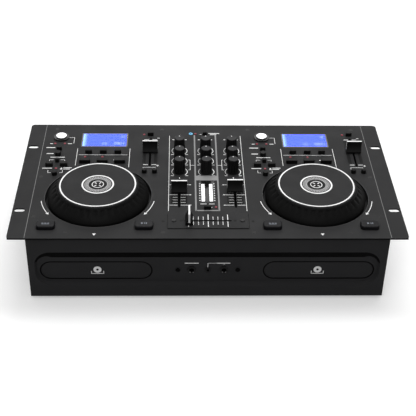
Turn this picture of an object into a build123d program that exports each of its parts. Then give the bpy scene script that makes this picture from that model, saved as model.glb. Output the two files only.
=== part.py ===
"""Dual disc player console with a two-channel mixer, for a 19 inch rack or a table.

Sizes are in millimetres. X runs to the right, Y to the rear and Z up. The origin is on the surface
that the feet stand on, below the middle of the top plate.
"""

import os
from math import atan2, degrees, hypot

from build123d import *

os.makedirs("parts", exist_ok=True)

# ---------------------------------------------------------------- overall sizes
body_width = 440.0
ear_width = 21.3
plate_depth = 262.0
plate_thick = 2.0
plate_corner = 5.0
body_height = 95.0
foot_height = 5.0
sheet = 1.2
front_set_back = 6.0
rear_set_back = 6.0

plate_width = body_width + 2 * ear_width
plate_top = foot_height + body_height
plate_under = plate_top - plate_thick
plate_front = -plate_depth / 2
plate_rear = plate_depth / 2
body_front = plate_front + front_set_back
body_rear = plate_rear - rear_set_back
floor_top = foot_height + sheet

# Rack slots in the ears, at the standard spacing across and up the rack.
rack_spacing_x = 465.1
rack_spacing_y = 146.05
rack_slot_length = 13.5
rack_slot_width = 6.9

# ---------------------------------------------------------------- fits
fit_face = 0.1
fit_hole = 0.2
fit_slide = 0.2
fit_shaft = 0.05

# ---------------------------------------------------------------- the two decks
deck_offset = 137.4
decks = {"left": -deck_offset, "right": deck_offset}

# Jog wheel and its dish. The dish hangs under the round opening in the plate.
jog_from_front = 89.5
jog_opening_radius = 67.0
jog_gap = 3.2
jog_rise = 17.0
jog_ledge_rise = 15.0
jog_ledge_radius = 51.5
jog_disc_radius = 50.0
jog_disc_thick = 3.0
jog_wall = 3.0
jog_skirt_drop = 3.0
jog_lip_rise = 1.5
jog_hub_radius = 9.0
jog_shaft_radius = 4.0
jog_shaft_in_hub = 12.0
jog_scallops = 36
jog_scallop_radius = 3.4
jog_scallop_end_radius = 1.6
jog_scallop_length = 14.0
jog_scallop_start = 1.2
jog_scallop_depth = 1.2
dish_depth = 10.0
dish_wall = 2.0
dish_flange_width = 4.0
dish_flange_thick = 1.5
dish_boss_radius = 9.0
dish_boss_rise = 6.0
dish_boss_drop = 7.0
encoder_radius = 14.0
encoder_thick = 1.0

jog_y = plate_front + jog_from_front
jog_radius = jog_opening_radius - jog_gap
dish_floor = plate_top - dish_depth
dish_boss_top = dish_floor + dish_boss_rise
dish_boss_bottom = dish_floor - dish_wall - dish_boss_drop

# Display window.
display_from_front = 222.5
display_width = 63.0
display_height = 36.0
lens_thick = 1.6
lens_rim = 1.8
lens_rim_thick = 1.0
module_height = 6.0
display_y = plate_front + display_from_front

# Track knob: a low black skirt with a bright domed cap.
track_offset = -59.4
track_from_front = 227.0
track_skirt_radius = 10.2
track_skirt_height = 1.6
track_cap_radius = 7.6
track_cap_height = 1.9

# Pitch fader, its stroke and its place.
pitch_offset = 62.9
pitch_from_front = 192.0
pitch_travel = 60.0

# Small buttons of one deck: (offset from the deck's centre, distance from the plate's front edge,
# width, depth). A round button has no depth.
display_buttons = [(offset, 189.3, 9.0, 4.5) for offset in (-19.5, 0.0, 19.5)]
loop_buttons = [(offset, 166.0, 14.5, 6.0) for offset in (-23.0, 0.0, 23.0)]
side_buttons = [
    (-59.6, 197.2, 7.0, 5.0),
    (-60.2, 184.0, 8.0, 0.0),
    (-59.6, 167.8, 5.0, 5.0),
    (-69.2, 158.3, 9.6, 6.0),
    (-50.2, 158.6, 9.6, 6.0),
    (-60.2, 137.0, 7.0, 0.0),
]
pitch_buttons = [
    (62.4, 235.0, 8.0, 5.0),
    (56.2, 142.5, 6.5, 0.0),
    (69.6, 142.5, 6.5, 0.0),
]
button_rise = 5.2
button_travel = 0.8
button_flange = 1.0
button_flange_thick = 1.0
button_stem_radius = 1.3
button_corner = 1.0
button_chamfer = 0.4

# CUE at the left and PLAY at the right of each jog wheel: soft rounded blocks.
pad_offset = 59.3
pad_from_front = 24.0
pad_width = 22.4
pad_depth = 14.4
pad_rise = 5.0
pad_corner = 4.0
pad_edge = 1.4

# Status lights of one deck, and of the mixer.
light_radius = 1.5
light_rise = 0.6
light_depth = 6.0
deck_lights = [
    (-66.6, 212.0),
    (-53.6, 212.0),
    (-59.6, 151.0),
    (-23.6, 179.0),
    (-0.6, 179.0),
    (53.6, 236.0),
]
mixer_lights = [(-13.0, 238.0), (10.5, 64.0)]
pairing_light_radius = 2.6
pairing_light_place = (-19.5, 238.0)

# ---------------------------------------------------------------- the mixer
knob_columns = {"left": -35.0, "middle": 0.0, "right": 35.0}
knob_first_row = 194.4
knob_pitch = 25.4
knob_rows = {
    "gain": knob_first_row,
    "treble": knob_first_row - knob_pitch,
    "bass": knob_first_row - 2 * knob_pitch,
}
knob_radius = 7.8
knob_top_radius = 6.6
knob_height = 20.0
knob_lift = 0.8
knob_foot = 1.6
knob_flutes = 12
knob_flute_radius = 0.9
knob_chamfer = 0.6
pointer_radius = 0.8
pointer_place = 4.6
pointer_depth = 0.3
pot_size = 11.0
pot_height = 6.5
pot_shaft_radius = 3.0
pot_shaft_in_pot = 5.0

channel_offset = 35.5
channel_from_front = 91.0
channel_travel = 45.0
channel_start = {"left": 6.2, "right": 8.5}
cross_from_front = 34.5
cross_travel = 48.0
cross_start = -23.2

cap_length = 20.0
cap_base = 9.6
cap_ridge = 3.0
cap_height = 15.9
cap_lift = 1.6
cap_waist = 1.9
lever_along = 4.0
lever_thick = 1.2
lever_in_cap = 8.0
fader_slot_width = 2.6
fader_slot_spare = 10.0
fader_body_width = 9.0
fader_body_height = 7.0
fader_body_spare = 18.0
fader_floor = 1.5

cross_plate_width = 99.0
cross_plate_depth = 30.0
cross_plate_thick = 1.0
cross_screw_offset = 42.0

meter_from_front = 98.5
meter_width = 20.0
meter_height = 47.0
meter_recess = 0.3
meter_body_depth = 8.0
meter_rim = 1.5

mixer_buttons = [(0.0, 61.0, 9.0, 5.0), (0.0, 236.0, 6.0, 4.5)]

# ---------------------------------------------------------------- screws of the plate
screw_radius = 1.5
screw_head_radius = 2.8
screw_length = 7.0
tab_length = 12.0
tab_width = 13.0
side_tab_inset = 6.0
side_tabs = [45.0, 132.0]
rear_screws = [59.5, 205.0]
rear_screw_inset = 12.0
front_bosses = [55.0, 172.0]
front_screw_from_front = 12.5
boss_size = 12.0
boss_height = 9.0
pan_screw_radius = 3.0
pan_screw_rise = 1.0
pan_screw_drops = [14.0, 71.0]
pan_screw_from_front = 15.5
lug_size = 12.0
lug_depth = 6.5

# ---------------------------------------------------------------- front panel
panel_thick = 3.0
recess_half_width = 212.0
recess_top_drop = 26.0
recess_bottom_drop = 78.0
recess_corner = 20.0
recess_depth = 4.5
recess_draft = 30.0
recess_floor_thick = 3.5
door_drop = 57.3
door_width = 135.5
door_height = 25.0
door_gap = 0.8
door_thick = 3.0
jack_drop = 56.3
jack_spacing = 20.0
panel_screw_offset = 37.0
large_jack_bore = 3.2
large_jack_barrel = 4.4
mini_jack_bore = 1.8
mini_jack_barrel = 2.9
nut_radius = 5.6
mini_nut_radius = 3.9
nut_thick = 1.6
large_jack_body = 14.0
mini_jack_body = 8.0
large_jack_depth = 28.0
mini_jack_depth = 16.0

recess_floor = body_front + recess_depth
panel_back = recess_floor + recess_floor_thick
door_z = plate_top - door_drop
jack_z = plate_top - jack_drop

# ---------------------------------------------------------------- tray and disc mechanism
tray_width = 128.0
tray_length = 142.0
tray_thick = 5.0
tray_above_middle = 1.0
runner_height = 4.0
runner_width = 3.0
tray_rim = 4.0
disc_radius = 60.5
disc_recess = 2.5
small_disc_radius = 40.5
small_disc_recess = 1.0
pickup_slot_width = 34.0
pickup_slot_length = 64.0
rail_wall = 4.0
ledge_width = 6.0
ledge_thick = 2.1
lip_thick = 2.8
lip_width = 3.3
rail_length = 150.0
frame_thick = 2.0
frame_post_radius = 4.0
frame_post_inset = 10.0
motor_radius = 12.0
motor_height = 8.0
spindle_radius = 1.0
turntable_radius = 15.0
turntable_thick = 2.0
hub_radius = 7.3
hub_height = 1.2
turntable_lift = 2.5
sled_width = 30.0
sled_length = 20.0
sled_height = 4.4
sled_lift = 0.5
sled_gap = 12.0
sled_arm_depth = 6.0
sled_travel = 34.0
lens_radius = 4.0
lens_rise = 1.0
lens_forward = 5.0
rod_radius = 1.4
rod_offset = 22.0
rod_end_width = 6.0
rod_end_thick = 2.0
rod_length = sled_travel + sled_length
bridge_width = 24.0
bridge_thick = 2.5
clamp_radius = 13.0
clamp_height = 0.7

tray_high = door_z + tray_above_middle
tray_under = tray_high - tray_thick
runner_low = tray_under - runner_height
tray_front = recess_floor + door_thick
disc_y = tray_front + tray_rim + disc_radius
ledge_top = runner_low - fit_slide
frame_top = ledge_top - ledge_thick
rail_top = tray_high + fit_slide + lip_thick
rail_inner = tray_width / 2 + fit_slide
rail_front = tray_front + 1.0

# ---------------------------------------------------------------- boards and rear parts
board_thick = 1.6
deck_board_top = plate_top - 14.0
deck_board_half_width = 74.0
board_front_inset = 17.0
board_rear_inset = 19.0
switch_height = 5.0
switch_size = 6.0
spacer_radius = 2.5
main_board_width = 104.0
main_board_depth = 150.0
standoff_height = 8.0
standoff_inset = 6.0
standoff_radius = 3.0
supply_width = 110.0
supply_depth = 62.0
supply_offset = -142.0
inlet_offset = -180.0
inlet_width = 27.6
inlet_height = 20.0
inlet_depth = 20.0
inlet_flange = 2.0
inlet_cavity_width = 24.0
inlet_cavity_height = 16.4
inlet_cavity_depth = 15.0
rear_row_z = foot_height + 42.0
switch_offset = -132.0
rocker_width = 11.0
rocker_half = 8.0
rocker_pivot_depth = 3.0
rocker_tilt = 8.0
rocker_body_depth = 14.0
rocker_wall = 1.5
rocker_pin_radius = 1.2
switch_frame_rim = 1.0
socket_places = [64.0, 96.0, 128.0]
socket_spacing = 16.0
socket_outer = 4.2
socket_bore = 1.7
socket_reach = 5.6
socket_block_width = 13.0
socket_block_depth = 12.0

switch_top = deck_board_top + switch_height


def from_front(distance):
    """Y of a place that is measured from the front edge of the plate."""
    return plate_front + distance


def facing_front(x, y, z):
    """Plane that looks out to the front, with its X to the right and its Y up."""
    return Plane((x, y, z), x_dir=(1, 0, 0), z_dir=(0, -1, 0))


def button_sketch(height, centre_x, places, grow=0.0):
    """Outlines of a bank of buttons at a height, each grown all round by the same amount."""
    with BuildSketch(Plane.XY.offset(height)) as outlines:
        for offset, distance, width, depth in places:
            with Locations((centre_x + offset, from_front(distance))):
                if depth == 0:
                    Circle(width / 2 + grow)
                else:
                    RectangleRounded(width + 2 * grow, depth + 2 * grow, button_corner + grow)
    return outlines.sketch


def stem_sketch(height, centre_x, places):
    """Outlines of the stems under a bank of buttons."""
    with BuildSketch(Plane.XY.offset(height)) as outlines:
        for offset, distance, _, _ in places:
            with Locations((centre_x + offset, from_front(distance))):
                Circle(button_stem_radius)
    return outlines.sketch


deck_buttons = display_buttons + loop_buttons + side_buttons
button_banks = [(deck_x, deck_buttons + pitch_buttons) for deck_x in decks.values()]
button_banks.append((0.0, mixer_buttons))
switch_places = [
    (centre_x + offset, from_front(distance))
    for centre_x, places in button_banks
    for offset, distance, _, _ in places
]
pad_places = [
    (deck_x + sign * pad_offset, from_front(pad_from_front))
    for deck_x in decks.values()
    for sign in (-1, 1)
]
light_places = [
    (deck_x + offset, from_front(distance))
    for deck_x in decks.values()
    for offset, distance in deck_lights
] + [(offset, from_front(distance)) for offset, distance in mixer_lights]
knob_places = {
    f"{column}_{row}_knob": (x, from_front(distance))
    for column, x in knob_columns.items()
    for row, distance in knob_rows.items()
}
plate_screw_places = (
    [
        (sign * (body_width / 2 - side_tab_inset), from_front(distance))
        for distance in side_tabs
        for sign in (-1, 1)
    ]
    + [(sign * x, plate_rear - rear_screw_inset) for x in rear_screws for sign in (-1, 1)]
    + [
        (sign * x, from_front(front_screw_from_front))
        for x in front_bosses
        for sign in (-1, 1)
    ]
)
cross_screw_places = [
    (sign * cross_screw_offset, from_front(cross_from_front)) for sign in (-1, 1)
]

# ---------------------------------------------------------------- top plate
with BuildPart() as top_plate:
    with BuildSketch(Plane.XY.offset(plate_under)):
        RectangleRounded(plate_width, plate_depth, plate_corner)
        with GridLocations(rack_spacing_x, rack_spacing_y, 2, 2):
            SlotOverall(rack_slot_length, rack_slot_width, mode=Mode.SUBTRACT)
        for deck_x in decks.values():
            with Locations((deck_x, jog_y)):
                Circle(jog_opening_radius, mode=Mode.SUBTRACT)
            with Locations((deck_x, display_y)):
                RectangleRounded(display_width, display_height, 1.5, mode=Mode.SUBTRACT)
            with Locations((deck_x + track_offset, from_front(track_from_front))):
                Circle(pot_shaft_radius + fit_hole, mode=Mode.SUBTRACT)
            with Locations((deck_x + pitch_offset, from_front(pitch_from_front))):
                SlotOverall(
                    pitch_travel + fader_slot_spare,
                    fader_slot_width,
                    rotation=90,
                    mode=Mode.SUBTRACT,
                )
        with Locations(*pad_places):
            RectangleRounded(
                pad_width + 2 * fit_hole,
                pad_depth + 2 * fit_hole,
                pad_corner + fit_hole,
                mode=Mode.SUBTRACT,
            )
        with Locations(*light_places):
            Circle(light_radius + fit_face, mode=Mode.SUBTRACT)
        with Locations((pairing_light_place[0], from_front(pairing_light_place[1]))):
            Circle(pairing_light_radius + fit_face, mode=Mode.SUBTRACT)
        with Locations(*knob_places.values()):
            Circle(pot_shaft_radius + fit_hole, mode=Mode.SUBTRACT)
        with Locations(
            (-channel_offset, from_front(channel_from_front)),
            (channel_offset, from_front(channel_from_front)),
        ):
            SlotOverall(
                channel_travel + fader_slot_spare,
                fader_slot_width,
                rotation=90,
                mode=Mode.SUBTRACT,
            )
        with Locations((0, from_front(cross_from_front))):
            SlotOverall(
                cross_travel + fader_slot_spare, fader_slot_width, mode=Mode.SUBTRACT
            )
        with Locations((0, from_front(meter_from_front))):
            Rectangle(
                meter_width + 2 * fit_hole, meter_height + 2 * fit_hole, mode=Mode.SUBTRACT
            )
    extrude(amount=plate_thick)
    for centre_x, places in button_banks:
        holes = button_sketch(plate_under, centre_x, places, fit_hole)
        extrude(holes, amount=plate_thick, mode=Mode.SUBTRACT)
    with Locations(*[(x, y, plate_top) for x, y in plate_screw_places]):
        CounterSinkHole(
            screw_radius + fit_shaft, screw_head_radius + fit_shaft, counter_sink_angle=90
        )
    with Locations(*[(x, y, plate_top) for x, y in cross_screw_places]):
        Hole(screw_radius + fit_shaft)
top_plate.part.label = "top_plate"
export_step(top_plate.part, "parts/top_plate.step")

# ---------------------------------------------------------------- chassis
with BuildPart() as chassis:
    chassis_front = body_front + panel_thick
    chassis_rear = body_rear - sheet
    chassis_middle = (chassis_front + chassis_rear) / 2
    with BuildSketch(Plane.XY.offset(foot_height)):
        with Locations((0, chassis_middle)):
            Rectangle(body_width, chassis_rear - chassis_front)
    extrude(amount=sheet)
    with BuildSketch(Plane.XY.offset(foot_height)):
        for sign in (-1, 1):
            with Locations((sign * (body_width - sheet) / 2, chassis_middle)):
                Rectangle(sheet, chassis_rear - chassis_front)
    extrude(amount=plate_under - foot_height)
    # Tabs are folded in from the sides, to take the plate's side screws.
    with BuildSketch(Plane.XY.offset(plate_under)):
        for distance in side_tabs:
            for sign in (-1, 1):
                tab_x = sign * (body_width / 2 - tab_width / 2)
                with Locations((tab_x, from_front(distance))):
                    Rectangle(tab_width, tab_length)
                screw_x = sign * (body_width / 2 - side_tab_inset)
                with Locations((screw_x, from_front(distance))):
                    Circle(screw_radius + fit_shaft, mode=Mode.SUBTRACT)
    extrude(amount=-sheet)
    # Side holes for the screws that hold the front panel.
    for drop in pan_screw_drops:
        with BuildSketch(Plane.YZ):
            with Locations((from_front(pan_screw_from_front), plate_top - drop)):
                Circle(screw_radius + fit_shaft)
        extrude(amount=body_width, both=True, mode=Mode.SUBTRACT)
chassis.part.label = "chassis"
export_step(chassis.part, "parts/chassis.step")

# ---------------------------------------------------------------- front panel
recess_height = recess_bottom_drop - recess_top_drop
recess_z = plate_top - (recess_top_drop + recess_bottom_drop) / 2
front_plane = Plane.XZ.offset(-body_front)
with BuildPart() as front_panel:
    with BuildSketch(front_plane):
        with Locations((0, (foot_height + plate_under) / 2)):
            Rectangle(body_width, plate_under - foot_height)
    extrude(amount=-panel_thick)
    with BuildSketch(front_plane):
        with Locations((0, recess_z)):
            RectangleRounded(
                2 * (recess_half_width + recess_floor_thick),
                recess_height + 2 * recess_floor_thick,
                recess_corner + recess_floor_thick,
            )
    extrude(amount=-(recess_depth + recess_floor_thick))
    with BuildSketch(front_plane):
        with Locations((0, recess_z)):
            RectangleRounded(2 * recess_half_width, recess_height, recess_corner)
    extrude(amount=-recess_depth, taper=recess_draft, mode=Mode.SUBTRACT)
    # Tray openings, jack holes and screw holes in the floor of the recess.
    with BuildSketch(Plane.XZ.offset(-recess_floor)):
        with Locations((-deck_offset, door_z), (deck_offset, door_z)):
            SlotOverall(door_width + 2 * door_gap, door_height + 2 * door_gap)
        with Locations((-jack_spacing, jack_z), (jack_spacing, jack_z)):
            Circle(large_jack_barrel + fit_face)
        with Locations((0, jack_z)):
            Circle(mini_jack_barrel + fit_face)
        with Locations((-panel_screw_offset, jack_z), (panel_screw_offset, jack_z)):
            Circle(screw_radius + fit_shaft)
    extrude(amount=-recess_floor_thick, mode=Mode.SUBTRACT)
    # Bosses under the plate's front screws, and lugs behind the side screws.
    with BuildSketch(Plane.XY.offset(plate_under)):
        for x in front_bosses:
            for sign in (-1, 1):
                with Locations((sign * x, body_front + panel_thick + boss_size / 2)):
                    Rectangle(boss_size, boss_size)
    extrude(amount=-boss_height)
    for sign in (-1, 1):
        lug_x = sign * (body_width / 2 - sheet - lug_depth / 2)
        for drop in pan_screw_drops:
            with BuildSketch(Plane.XY.offset(plate_top - drop - lug_size / 2)):
                with Locations((lug_x, body_front + panel_thick + lug_size / 2)):
                    Rectangle(lug_depth, lug_size)
            extrude(amount=lug_size)
    # Screw holes through the bosses and the lugs.
    with Locations(
        *[
            (sign * x, from_front(front_screw_from_front), plate_under)
            for x in front_bosses
            for sign in (-1, 1)
        ]
    ):
        Hole(screw_radius + fit_shaft, depth=boss_height)
    for drop in pan_screw_drops:
        with BuildSketch(Plane.YZ):
            with Locations((from_front(pan_screw_from_front), plate_top - drop)):
                Circle(screw_radius + fit_shaft)
        extrude(amount=body_width, both=True, mode=Mode.SUBTRACT)
front_panel.part.label = "front_panel"
export_step(front_panel.part, "parts/front_panel.step")

# ---------------------------------------------------------------- rear panel
rear_plane = Plane.XZ.offset(-body_rear)
rear_flange_width = 12.0
with BuildPart() as rear_panel:
    with BuildSketch(rear_plane):
        with Locations((0, (foot_height + plate_under) / 2)):
            Rectangle(body_width, plate_under - foot_height)
        with Locations((inlet_offset, rear_row_z)):
            Rectangle(
                inlet_width + 2 * fit_hole, inlet_height + 2 * fit_hole, mode=Mode.SUBTRACT
            )
        with Locations((switch_offset, rear_row_z)):
            Rectangle(
                rocker_width + 2 * rocker_wall + 2 * fit_hole,
                2 * rocker_half + 4 * rocker_wall + 2 * fit_hole,
                mode=Mode.SUBTRACT,
            )
        for x in socket_places:
            for side in (-1, 1):
                with Locations((x, rear_row_z + side * socket_spacing / 2)):
                    Circle(socket_outer + fit_hole, mode=Mode.SUBTRACT)
    extrude(amount=sheet)
    with BuildSketch(Plane.XY.offset(plate_under)):
        with Locations((0, body_rear - sheet - rear_flange_width / 2)):
            Rectangle(body_width - 2 * sheet - 2 * fit_face, rear_flange_width)
        for x in rear_screws:
            for sign in (-1, 1):
                with Locations((sign * x, plate_rear - rear_screw_inset)):
                    Circle(screw_radius + fit_shaft, mode=Mode.SUBTRACT)
    extrude(amount=-sheet)
rear_panel.part.label = "rear_panel"
export_step(rear_panel.part, "parts/rear_panel.step")

# ---------------------------------------------------------------- crossfader plate
with BuildPart() as crossfader_plate:
    with BuildSketch(Plane.XY.offset(plate_top)):
        with Locations((0, from_front(cross_from_front))):
            RectangleRounded(cross_plate_width, cross_plate_depth, 1.0)
            SlotOverall(
                cross_travel + fader_slot_spare, fader_slot_width, mode=Mode.SUBTRACT
            )
        with Locations(*cross_screw_places):
            Circle(screw_radius + fit_shaft, mode=Mode.SUBTRACT)
    extrude(amount=cross_plate_thick)
crossfader_plate.part.label = "crossfader_plate"
export_step(crossfader_plate.part, "parts/crossfader_plate.step")

# ---------------------------------------------------------------- feet
foot_radius = 9.0
foot_taper = 8.0
foot_inset_x = 30.0
foot_inset_y = 28.0
with BuildPart() as feet:
    with BuildSketch(Plane.XY.offset(foot_height)):
        with GridLocations(
            body_width - 2 * foot_inset_x, plate_depth - 2 * foot_inset_y, 2, 2
        ):
            Circle(foot_radius)
    extrude(amount=-foot_height, taper=foot_taper)
feet.part.label = "feet"
export_step(feet.part, "parts/feet.step")

# ---------------------------------------------------------------- screws
with BuildPart() as panel_screws:
    # Countersunk screws through the plate.
    head_depth = screw_head_radius - screw_radius
    for x, y in plate_screw_places:
        with BuildSketch(Plane((x, y, plate_top))):
            Circle(screw_radius)
        extrude(amount=-screw_length)
        with Locations((x, y, plate_top - head_depth / 2)):
            Cone(screw_radius, screw_head_radius, head_depth)
    # Raised screws on the crossfader plate.
    for x, y in cross_screw_places:
        with BuildSketch(Plane((x, y, plate_top + cross_plate_thick))):
            Circle(screw_radius)
        extrude(amount=-screw_length)
        with BuildSketch(Plane((x, y, plate_top + cross_plate_thick))):
            Circle(screw_head_radius)
        extrude(amount=pan_screw_rise)
    # Two screws in the recess of the front panel.
    for sign in (-1, 1):
        with BuildSketch(
            facing_front(sign * panel_screw_offset, recess_floor, jack_z)
        ):
            Circle(screw_head_radius)
        extrude(amount=pan_screw_rise)
        with BuildSketch(
            Plane((sign * panel_screw_offset, recess_floor, jack_z), z_dir=(0, 1, 0))
        ):
            Circle(screw_radius)
        extrude(amount=screw_length)
    # Pan head screws in the sides.
    for sign in (-1, 1):
        for drop in pan_screw_drops:
            seat = (
                sign * body_width / 2,
                from_front(pan_screw_from_front),
                plate_top - drop,
            )
            with BuildSketch(Plane(seat, z_dir=(sign, 0, 0))):
                Circle(pan_screw_radius)
            extrude(amount=pan_screw_rise)
            with BuildSketch(Plane(seat, z_dir=(-sign, 0, 0))):
                Circle(screw_radius)
            extrude(amount=sheet + lug_depth)
panel_screws.part.label = "panel_screws"
export_step(panel_screws.part, "parts/panel_screws.step")

# ---------------------------------------------------------------- displays
lens_base = plate_under - lens_rim_thick
module_top = lens_base
with BuildPart() as display_windows:
    with BuildSketch(Plane.XY.offset(lens_base)):
        with Locations(*[(deck_x, display_y) for deck_x in decks.values()]):
            RectangleRounded(display_width + 2 * lens_rim, display_height + 2 * lens_rim, 2.0)
    extrude(amount=lens_rim_thick)
    with BuildSketch(Plane.XY.offset(plate_under)):
        with Locations(*[(deck_x, display_y) for deck_x in decks.values()]):
            RectangleRounded(
                display_width - 2 * fit_hole, display_height - 2 * fit_hole, 1.5 - fit_hole
            )
    extrude(amount=lens_thick)
display_windows.part.label = "display_windows"
export_step(display_windows.part, "parts/display_windows.step")

with BuildPart() as display_modules:
    with BuildSketch(Plane.XY.offset(module_top)):
        with Locations(*[(deck_x, display_y) for deck_x in decks.values()]):
            Rectangle(display_width + 2 * lens_rim, display_height + 2 * lens_rim)
    extrude(amount=-module_height)
display_modules.part.label = "display_modules"
export_step(display_modules.part, "parts/display_modules.step")

# ---------------------------------------------------------------- lights and level meter
with BuildPart() as indicator_lights:
    with BuildSketch(Plane.XY.offset(plate_top + light_rise)):
        with Locations(*light_places):
            Circle(light_radius)
        with Locations((pairing_light_place[0], from_front(pairing_light_place[1]))):
            Circle(pairing_light_radius)
    extrude(amount=-light_depth)
indicator_lights.part.label = "indicator_lights"
export_step(indicator_lights.part, "parts/indicator_lights.step")

meter_y = from_front(meter_from_front)
with BuildPart() as level_meter:
    with BuildSketch(Plane((0, meter_y, plate_top - meter_recess))):
        Rectangle(meter_width, meter_height)
    extrude(amount=-(plate_thick - meter_recess + meter_body_depth))
    with BuildSketch(Plane((0, meter_y, plate_under))):
        Rectangle(meter_width + 2 * meter_rim, meter_height + 2 * meter_rim)
    extrude(amount=-1.0)
level_meter.part.label = "level_meter"
export_step(level_meter.part, "parts/level_meter.step")

# ---------------------------------------------------------------- front jacks with their nuts
with BuildPart() as front_jacks:
    jacks = [
        (-jack_spacing, large_jack_barrel, large_jack_bore, large_jack_body, large_jack_depth),
        (0.0, mini_jack_barrel, mini_jack_bore, mini_jack_body, mini_jack_depth),
        (jack_spacing, large_jack_barrel, large_jack_bore, large_jack_body, large_jack_depth),
    ]
    for x, barrel, bore, body, depth in jacks:
        nut = nut_radius if barrel == large_jack_barrel else mini_nut_radius
        outward = facing_front(x, panel_back, jack_z)
        with BuildSketch(outward):
            Circle(barrel)
        extrude(amount=recess_floor_thick + nut_thick)
        with BuildSketch(outward.offset(recess_floor_thick)):
            RegularPolygon(nut, 6)
        extrude(amount=nut_thick)
        with BuildSketch(outward):
            Rectangle(body, body)
        extrude(amount=-depth)
        with BuildSketch(outward.offset(recess_floor_thick + nut_thick)):
            Circle(bore)
        extrude(
            amount=-(recess_floor_thick + nut_thick + depth - 2.0), mode=Mode.SUBTRACT
        )
front_jacks.part.label = "front_jacks"
export_step(front_jacks.part, "parts/front_jacks.step")

# ---------------------------------------------------------------- rear sockets
with BuildPart() as rca_sockets:
    for x in socket_places:
        with BuildSketch(facing_front(x, body_rear - sheet, rear_row_z)):
            Rectangle(socket_block_width, 2 * socket_spacing)
        extrude(amount=socket_block_depth)
        for side in (-1, 1):
            rear = facing_front(
                x, body_rear + socket_reach, rear_row_z + side * socket_spacing / 2
            )
            with BuildSketch(rear):
                Circle(socket_outer)
            extrude(amount=socket_reach + sheet)
            with BuildSketch(rear):
                Circle(socket_bore)
            extrude(amount=socket_reach + sheet + socket_block_depth / 2, mode=Mode.SUBTRACT)
rca_sockets.part.label = "rca_sockets"
export_step(rca_sockets.part, "parts/rca_sockets.step")

pin_width = 2.0
pin_height = 4.0
pin_spacing = 7.0
pin_reach = 12.0
pivot_y = body_rear + switch_frame_rim - rocker_pivot_depth
with BuildPart() as mains_fittings:
    inlet_face = facing_front(inlet_offset, body_rear + inlet_flange, rear_row_z)
    with BuildSketch(inlet_face):
        RectangleRounded(inlet_width + 6.0, inlet_height + 5.0, 3.0)
    extrude(amount=inlet_flange)
    with BuildSketch(inlet_face.offset(inlet_flange)):
        Rectangle(inlet_width, inlet_height)
    extrude(amount=inlet_depth)
    with BuildSketch(inlet_face):
        Rectangle(inlet_cavity_width, inlet_cavity_height)
    extrude(amount=inlet_cavity_depth, mode=Mode.SUBTRACT)
    with BuildSketch(inlet_face.offset(inlet_cavity_depth)):
        with Locations((-pin_spacing, -1.0), (pin_spacing, -1.0), (0, pin_height - 1.0)):
            Rectangle(pin_width, pin_height)
    extrude(amount=-pin_reach)
    # Snap-in frame that the power rocker turns in, with its pin.
    switch_face = facing_front(switch_offset, body_rear + switch_frame_rim, rear_row_z)
    with BuildSketch(switch_face):
        Rectangle(rocker_width + 4 * rocker_wall, 2 * rocker_half + 6 * rocker_wall)
    extrude(amount=switch_frame_rim)
    with BuildSketch(switch_face.offset(switch_frame_rim)):
        Rectangle(rocker_width + 2 * rocker_wall, 2 * rocker_half + 4 * rocker_wall)
    extrude(amount=rocker_body_depth)
    with BuildSketch(switch_face):
        Rectangle(rocker_width, 2 * rocker_half + 2 * rocker_wall)
    extrude(amount=rocker_body_depth - rocker_wall, mode=Mode.SUBTRACT)
    with BuildSketch(Plane((switch_offset, pivot_y, rear_row_z), z_dir=(1, 0, 0))):
        Circle(rocker_pin_radius)
    extrude(amount=rocker_width / 2, both=True)
mains_fittings.part.label = "mains_fittings"
export_step(mains_fittings.part, "parts/mains_fittings.step")

# ---------------------------------------------------------------- rocker power switch
with BuildPart() as power_switch:
    # The rocker's face is two flats that meet over the pivot. It rests tilted to one side.
    outward = Vector(0, 1, 0).rotate(Axis.X, rocker_tilt)
    with BuildSketch(
        Plane((switch_offset, pivot_y, rear_row_z), x_dir=outward, z_dir=(1, 0, 0))
    ):
        with BuildLine():
            Polyline(
                (-3.0, -rocker_half + 1.5),
                (rocker_pivot_depth, -rocker_half),
                (rocker_pivot_depth - 1.0, 0),
                (rocker_pivot_depth, rocker_half),
                (-3.0, rocker_half - 1.5),
                close=True,
            )
        make_face()
        Circle(rocker_pin_radius + fit_shaft, mode=Mode.SUBTRACT)
    extrude(amount=rocker_width / 2 - fit_hole, both=True)
power_switch.part.label = "power_switch"
export_step(power_switch.part, "parts/power_switch.step")

# ---------------------------------------------------------------- jog dishes with bearings
with BuildPart() as jog_bearings:
    for deck_x in decks.values():
        dish = Plane((deck_x, jog_y, plate_under))
        wall_outer = jog_opening_radius + dish_wall
        with BuildSketch(dish):
            Circle(wall_outer + dish_flange_width / 2)
        extrude(amount=-dish_flange_thick)
        with BuildSketch(dish):
            Circle(wall_outer)
        extrude(amount=-(plate_under - dish_floor + dish_wall))
        with BuildSketch(dish):
            Circle(jog_opening_radius)
        extrude(amount=-(plate_under - dish_floor), mode=Mode.SUBTRACT)
        with BuildSketch(Plane((deck_x, jog_y, dish_boss_bottom))):
            Circle(dish_boss_radius)
        extrude(amount=dish_boss_top - dish_boss_bottom)
        with BuildSketch(Plane((deck_x, jog_y, dish_boss_bottom))):
            Circle(jog_shaft_radius + fit_shaft)
        extrude(amount=dish_boss_top - dish_boss_bottom, mode=Mode.SUBTRACT)
jog_bearings.part.label = "jog_bearings"
export_step(jog_bearings.part, "parts/jog_bearings.step")

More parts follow.
